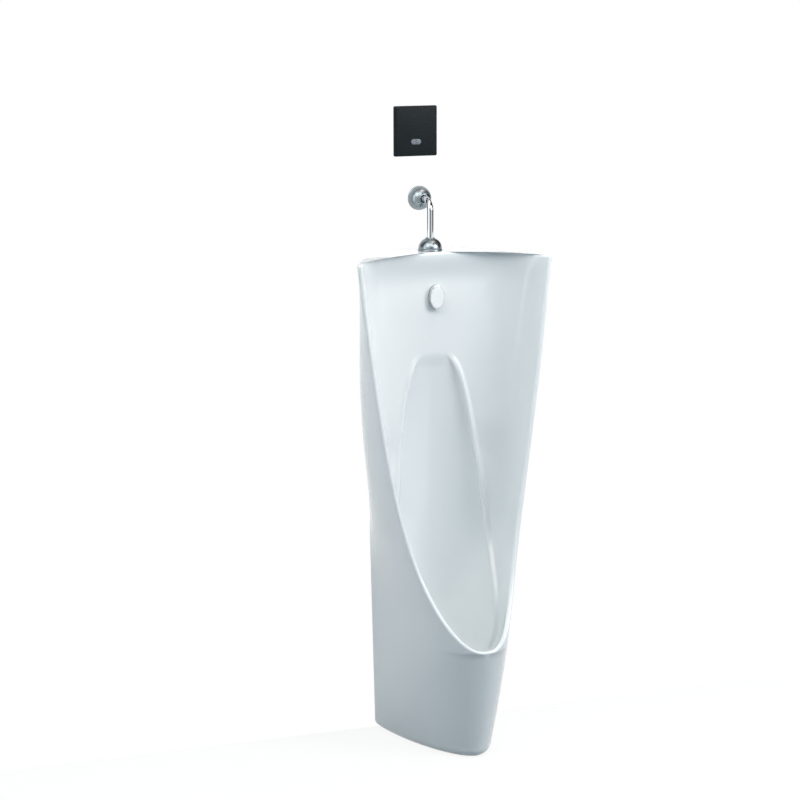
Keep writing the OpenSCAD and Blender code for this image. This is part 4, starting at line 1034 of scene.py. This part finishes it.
def oval_stack(rings):
    """Ovals of (inset, height) in millimetres joined into a closed solid."""
    bm = bmesh.new()
    loop = bmesh.ops.create_circle(bm, cap_ends=True, segments=96, radius=MM)["verts"]
    size = [(SPREADER[0] / 2 - d, SPREADER[1] / 2 - d) for d, _ in rings]
    bmesh.ops.scale(bm, vec=(size[0][0], size[0][1], 1), verts=loop)
    bmesh.ops.translate(bm, vec=(0, 0, rings[0][1] * MM), verts=loop)
    edges = bm.edges[:]
    for k in range(1, len(rings)):
        edges = push(bm, edges, (0, 0, rings[k][1] - rings[k - 1][1]))
        loop = list({v for e in edges for v in e.verts})
        bmesh.ops.scale(bm, vec=(size[k][0] / size[k - 1][0], size[k][1] / size[k - 1][1], 1), verts=loop)
    bmesh.ops.contextual_create(bm, geom=edges)
    return place(bm, at(0, -SPREAD_S - 2, SPREAD_Z) @ OUT_OF_WALL)


cup_rings = [(1.4, 0), (0.4, 0.2), (0, 0.9), (0, 9.4), (0.2, 10.1), (0.7, 10.5), (1.5, 10.6)]
cap_rings = [(1.5, 10.5), (1.5, 11.2), (1.8, 11.5), (2.4, 11.6), (8, 11.6)]
make_piece("spreader_shell", oval_stack(cup_rings), chrome, stands_for=("spreader_cup",), sharp=35)
cap = make_piece("spreader_cap", oval_stack(cap_rings), white_cap,
                 stands_for=("spreader_face",), sharp=35)
slot = prism([(-2.6, -2.2), (1.6, -2.2), (1.6, 4), (-2.6, 4)], 3,
             at(-8.6, -SPREAD_S - 11.5, SPREAD_Z + 19.4) @ OUT_OF_WALL)
carve(cap, [slot])

# %% [markdown]
# ## Sensor plate
#
# The plate is a flat tray of black plastic with softly rounded corners and a bevelled rim. An
# outline is pushed forwards and drawn in for the bevel, closed, and hollowed to an even wall. The
# pill shaped opening holds the smoky window, in which two round lenses touch.

# %% Sensor plate
PLATE_X, PLATE_Z, PLATE_W, PLATE_H, PLATE_T = -9.5, INLET_Z + 143, 98.5, 106.5, 8.0
PLATE_CORNER, PLATE_WALL = 3.2, 2.4
WINDOW_Z, WINDOW_W, PILL_R = PLATE_Z - 22.5, 23.5, 6.0


def rounded(width, height, corner, segments):
    """A flat rectangle in millimetres with its four corners bevelled round."""
    bm = bmesh.new()
    bmesh.ops.create_grid(bm, x_segments=1, y_segments=1, size=0.5)
    bmesh.ops.scale(bm, vec=(width * MM, height * MM, 1), verts=bm.verts)
    bmesh.ops.bevel(bm, geom=bm.verts[:], affect="VERTICES", offset=corner * MM, segments=segments,
                    profile=0.5, material=-1)
    return bm


def tray(width, height, corner, rings, wall):
    """A rounded rectangle pushed up through rings of (inset, height), closed on top."""
    bm = rounded(width, height, corner, 8)
    edges = bm.edges[:]
    bmesh.ops.delete(bm, geom=bm.faces[:], context="FACES_ONLY")
    for k in range(1, len(rings)):
        edges = push(bm, edges, (0, 0, rings[k][1] - rings[k - 1][1]))
        loop = list({v for e in edges for v in e.verts})
        a, b = 2 * rings[k - 1][0], 2 * rings[k][0]
        shrink = ((width - b) / (width - a), (height - b) / (height - a), 1)
        bmesh.ops.scale(bm, vec=shrink, verts=loop)
    bmesh.ops.contextual_create(bm, geom=edges)
    bmesh.ops.recalc_face_normals(bm, faces=bm.faces)
    bmesh.ops.solidify(bm, geom=bm.faces[:], thickness=wall * MM)
    return bm


def pill(width, radius, depth, matrix):
    """A flat bar with round ends."""
    corner = radius * 0.999  # a hair less, so that no edge between two corners shrinks to nothing
    bm = rounded(width, 2 * radius, corner, 12)
    raise_faces(bm, depth)
    return place(bm, matrix)


plate_rings = [(0, 0), (0, 4.9), (0.35, 5.9), (1.3, 7.0), (2.6, 7.7), (4.0, PLATE_T)]
plate_bm = tray(PLATE_W, PLATE_H, PLATE_CORNER, plate_rings, PLATE_WALL)
place(plate_bm, at(PLATE_X, 0, PLATE_Z) @ OUT_OF_WALL)
plate = make_piece("plate_cover", plate_bm, plate_black, "sensor_plate",
                   ("face_plate",), sharp=30)
carve(plate, [pill(WINDOW_W, PILL_R, PLATE_T + 1, at(PLATE_X, 0.5, WINDOW_Z) @ OUT_OF_WALL)])
plate.data.shade_smooth()
plate.data.set_sharp_from_angle(angle=math.radians(30))

# %% [markdown]
# The window is a pill of grey acrylic that sits a little behind the plate's face. The two lenses
# are thin turned discs on it with a bevelled rim, and the rim is what tells them from the window.

# %% Window and lenses
window_at = at(PLATE_X, 2.5 - PLATE_T, WINDOW_Z) @ OUT_OF_WALL
window = pill(WINDOW_W - 0.2, PILL_R - 0.1, 2.2, window_at)
make_piece("window_pill", window, smoke_acrylic, "sensor_plate", ("sensor_window",))
lens_profile = [(0, 0), (PILL_R - 0.7, 0), (PILL_R - 0.7, 0.35), (PILL_R - 0.9, 0.52),
                (PILL_R - 1.5, 0.6), (0, 0.66)]
for side, name in ((-1, "lens_left"), (1, "lens_right")):
    lens_at = at(PLATE_X + side * (WINDOW_W / 2 - PILL_R), 0.3 - PLATE_T, WINDOW_Z) @ OUT_OF_WALL
    lens = place(turn(lens_profile, steps=64, closed=False), lens_at)
    replaced = ("sensor_lenses",) if side < 0 else ()
    make_piece(name, lens, lens_acrylic, "sensor_plate", replaced)

# %% [markdown]
# ## Studio
#
# The photograph is a product shot on white. The wall is a white sheet just behind the mounting
# plane, so the fittings that are set into the wall stay hidden as they do in a bathroom. It is
# clear from behind, which leaves the back of the object visible to someone who walks round it.
# The sheets and the world are plain white to the camera, to mirrors and through glass. What the
# floor throws back is a mid grey, and the sky that lights the object is dim and a little blue.
# So the white round the object doesn't wash out its shading.

# %% Backdrop materials
def seen_directly(tree):
    """A light path node, and 1 for rays of the camera, of mirrors and through glass."""
    ray = node(tree, "ShaderNodeLightPath")
    seen = (ray, "Is Camera Ray")
    for other in ("Is Glossy Ray", "Is Transmission Ray"):
        either = node(tree, "ShaderNodeMath", {"operation": "MAXIMUM"}, i0=seen, i1=(ray, other))
        seen = (either, "Value")
    return ray, seen


def backdrop(name, paper, see_through_back=False, keep_shadow=0.0):
    """White to the eye and to mirrors, and the given paper for the light that it throws back.

    keep_shadow is the share of the white that can still fall into shadow.
    """
    material, tree = new_material(name)
    ray, seen = seen_directly(tree)
    if keep_shadow:
        part = node(tree, "ShaderNodeMath", {"operation": "MULTIPLY"}, i0=seen, i1=1 - keep_shadow)
        seen = (part, "Value")
    paint = node(tree, "ShaderNodeBsdfDiffuse", Color=linear(paper))
    chalk = node(tree, "ShaderNodeBsdfDiffuse", Color=linear("FFFFFF"))
    both = node(tree, "ShaderNodeMixShader",
                i0=(ray, "Is Camera Ray"), i1=(paint, "BSDF"), i2=(chalk, "BSDF"))
    white = node(tree, "ShaderNodeEmission", Color=linear("FFFFFF"), Strength=1.0)
    both = node(tree, "ShaderNodeMixShader", i0=seen, i1=(both, "Shader"), i2=(white, "Emission"))
    if see_through_back:
        side = node(tree, "ShaderNodeNewGeometry")
        clear = node(tree, "ShaderNodeBsdfTransparent")
        both = node(tree, "ShaderNodeMixShader",
                    i0=(side, "Backfacing"), i1=(both, "Shader"), i2=(clear, "BSDF"))
    node(tree, "ShaderNodeOutputMaterial", Surface=(both, "Shader"))
    return material


def sheet(name, width, height, matrix, material):
    """A flat sheet in metres that belongs to the studio and not to the object."""
    bm = bmesh.new()
    bmesh.ops.create_grid(bm, x_segments=1, y_segments=1, size=0.5)
    bmesh.ops.scale(bm, vec=(width, height, 1), verts=bm.verts)
    place(bm, matrix)
    mesh = bpy.data.meshes.new(name)
    bm.to_mesh(mesh)
    bm.free()
    mesh.materials.append(material)
    made = bpy.data.objects.new(name, mesh)
    bpy.context.collection.objects.link(made)
    return made


# %% Floor and wall
# Both stand about half a millimetre off the object, so that no faces lie in one plane.
SET_WIDTH = 12  # metres
floor_at = Matrix.Translation((0, 0, -0.0005))
wall_at = Matrix.Translation((0, 0.0006, 3)) @ OUT_OF_WALL
sheet("floor", SET_WIDTH, SET_WIDTH, floor_at, backdrop("white_floor", "959A9E", keep_shadow=0.12))
sheet("wall", SET_WIDTH, 6, wall_at, backdrop("white_wall", "F4F5F6", see_through_back=True))
print("floor and wall,", SET_WIDTH, "m wide")

# %% Sky
world = bpy.data.worlds.new("studio")
bpy.context.scene.world = world
world.use_nodes = True
sky = world.node_tree
sky.nodes.clear()
seen = seen_directly(sky)[1]
dim = node(sky, "ShaderNodeBackground", Color=linear("A6E7FF"), Strength=0.25)
bright = node(sky, "ShaderNodeBackground", Color=linear("FFFFFF"), Strength=1.0)
ambient = node(sky, "ShaderNodeMixShader", i0=seen, i1=(dim, "Background"), i2=(bright, "Background"))
node(sky, "ShaderNodeOutputWorld", Surface=(ambient, "Shader"))
print("sky:", world.name)

# %% [markdown]
# Chrome shows nothing but its surroundings, and in an all white room it turns flat and pale. So a
# photographer holds small black cards round it: one near the camera's line draws the dark streak
# down the pipe, one on each side darkens its edges, one above shades the tops of the two covers,
# and two by the wall darken the base of the upper one. Only mirrors see them here, and they hang
# high, where the glazed body hardly reflects them.

# %% Black cards
# Cloth this dark draws a streak on chrome that is still a grey and not a hole.
card_cloth, tree = new_material("black_card")
cloth = node(tree, "ShaderNodeBsdfDiffuse", Color=linear("1A1D20"))
node(tree, "ShaderNodeOutputMaterial", Surface=(cloth, "BSDF"))


def mirror_card(name, width, height, matrix):
    """A black sheet that only mirrors see."""
    made = sheet(name, width, height, matrix, card_cloth)
    made.visible_camera = made.visible_diffuse = made.visible_shadow = False
    print(name, "of", width, "by", round(height, 2), "m")


def card(name, turn_deg, distance, width, low, high, lean_deg=0):
    """An upright card round the pipe, in metres; 0 degrees is the camera's side."""
    angle = math.radians(turn_deg - CAMERA_TURN)
    middle = (distance * math.sin(angle), -INLET_S * MM - distance * math.cos(angle), (low + high) / 2)
    facing = Matrix.Rotation(angle, 4, "Z") @ Matrix.Rotation(math.radians(lean_deg), 4, "X")
    mirror_card(name, width, high - low, Matrix.Translation(middle) @ facing @ OUT_OF_WALL)


card("card_streak", 12, 0.6, 0.26, 0.88, 1.3)
card("card_right", 100, 0.4, 0.3, 1.05, 1.6)
card("card_left", -100, 0.4, 0.3, 1.05, 1.6)
card("card_over", 60, 0.5, 0.6, 1.55, 1.9, -50)
for side, end in ((-1, "l"), (1, "r")):
    by_wall = Matrix.Translation((side * 0.22, -0.003, 1.33)) @ OUT_OF_WALL
    mirror_card("card_by_wall_" + end, 0.3, 0.5, by_wall)

# %% [markdown]
# Seven large soft lamps stand where a studio would hang its softboxes. The key at the front right
# and the lamp further out give the bowl its bright and its shaded side. Those overhead light the
# deck and the floor of the bowl, and the two narrow ones graze the sides, so that the edges of the
# body stand off from the white. Their colours differ a little, cool in front and warm on the
# right, as they do on the glaze in the photograph.

# %% Lamps
LAMP_AIM = (0, -0.15, 0.6)


def softbox(name, where, size, power, colour="FFFFFF"):
    """A rectangular lamp that faces the object, with its size in metres and its power in watts."""
    data = bpy.data.lights.new(name, "AREA")
    data.shape = "RECTANGLE"
    data.size, data.size_y = size
    data.energy = power
    data.color = linear(colour)[:3]
    lamp = bpy.data.objects.new(name, data)
    bpy.context.collection.objects.link(lamp)
    lamp.location = where
    lamp.rotation_euler = (Vector(LAMP_AIM) - Vector(where)).to_track_quat("-Z", "Y").to_euler()
    print(name, power, "W")


softbox("key", (1.3, -1.8, 2.0), (1.0, 1.0), 26, "F2FBFF")
softbox("far_right", (2.2, -2.6, 2.4), (1.2, 2.0), 16, "FFD6C2")
softbox("over_right", (0.6, -0.6, 2.6), (0.9, 0.9), 7.5, "FFDDC9")
softbox("over_front", (0.1, -1.3, 2.4), (1.0, 1.0), 10.5)
softbox("over_left", (-1.0, -0.9, 2.2), (1.0, 1.0), 9.7, "FFF4ED")
softbox("side_left", (-1.7, -0.35, 1.1), (0.4, 1.8), 4.8)
softbox("side_right", (1.7, -0.5, 1.2), (0.4, 1.8), 3.6)

# %% [markdown]
# The standard view transform keeps the white of the sheets at full white.

# %% View transform
bpy.context.scene.view_settings.view_transform = "Standard"
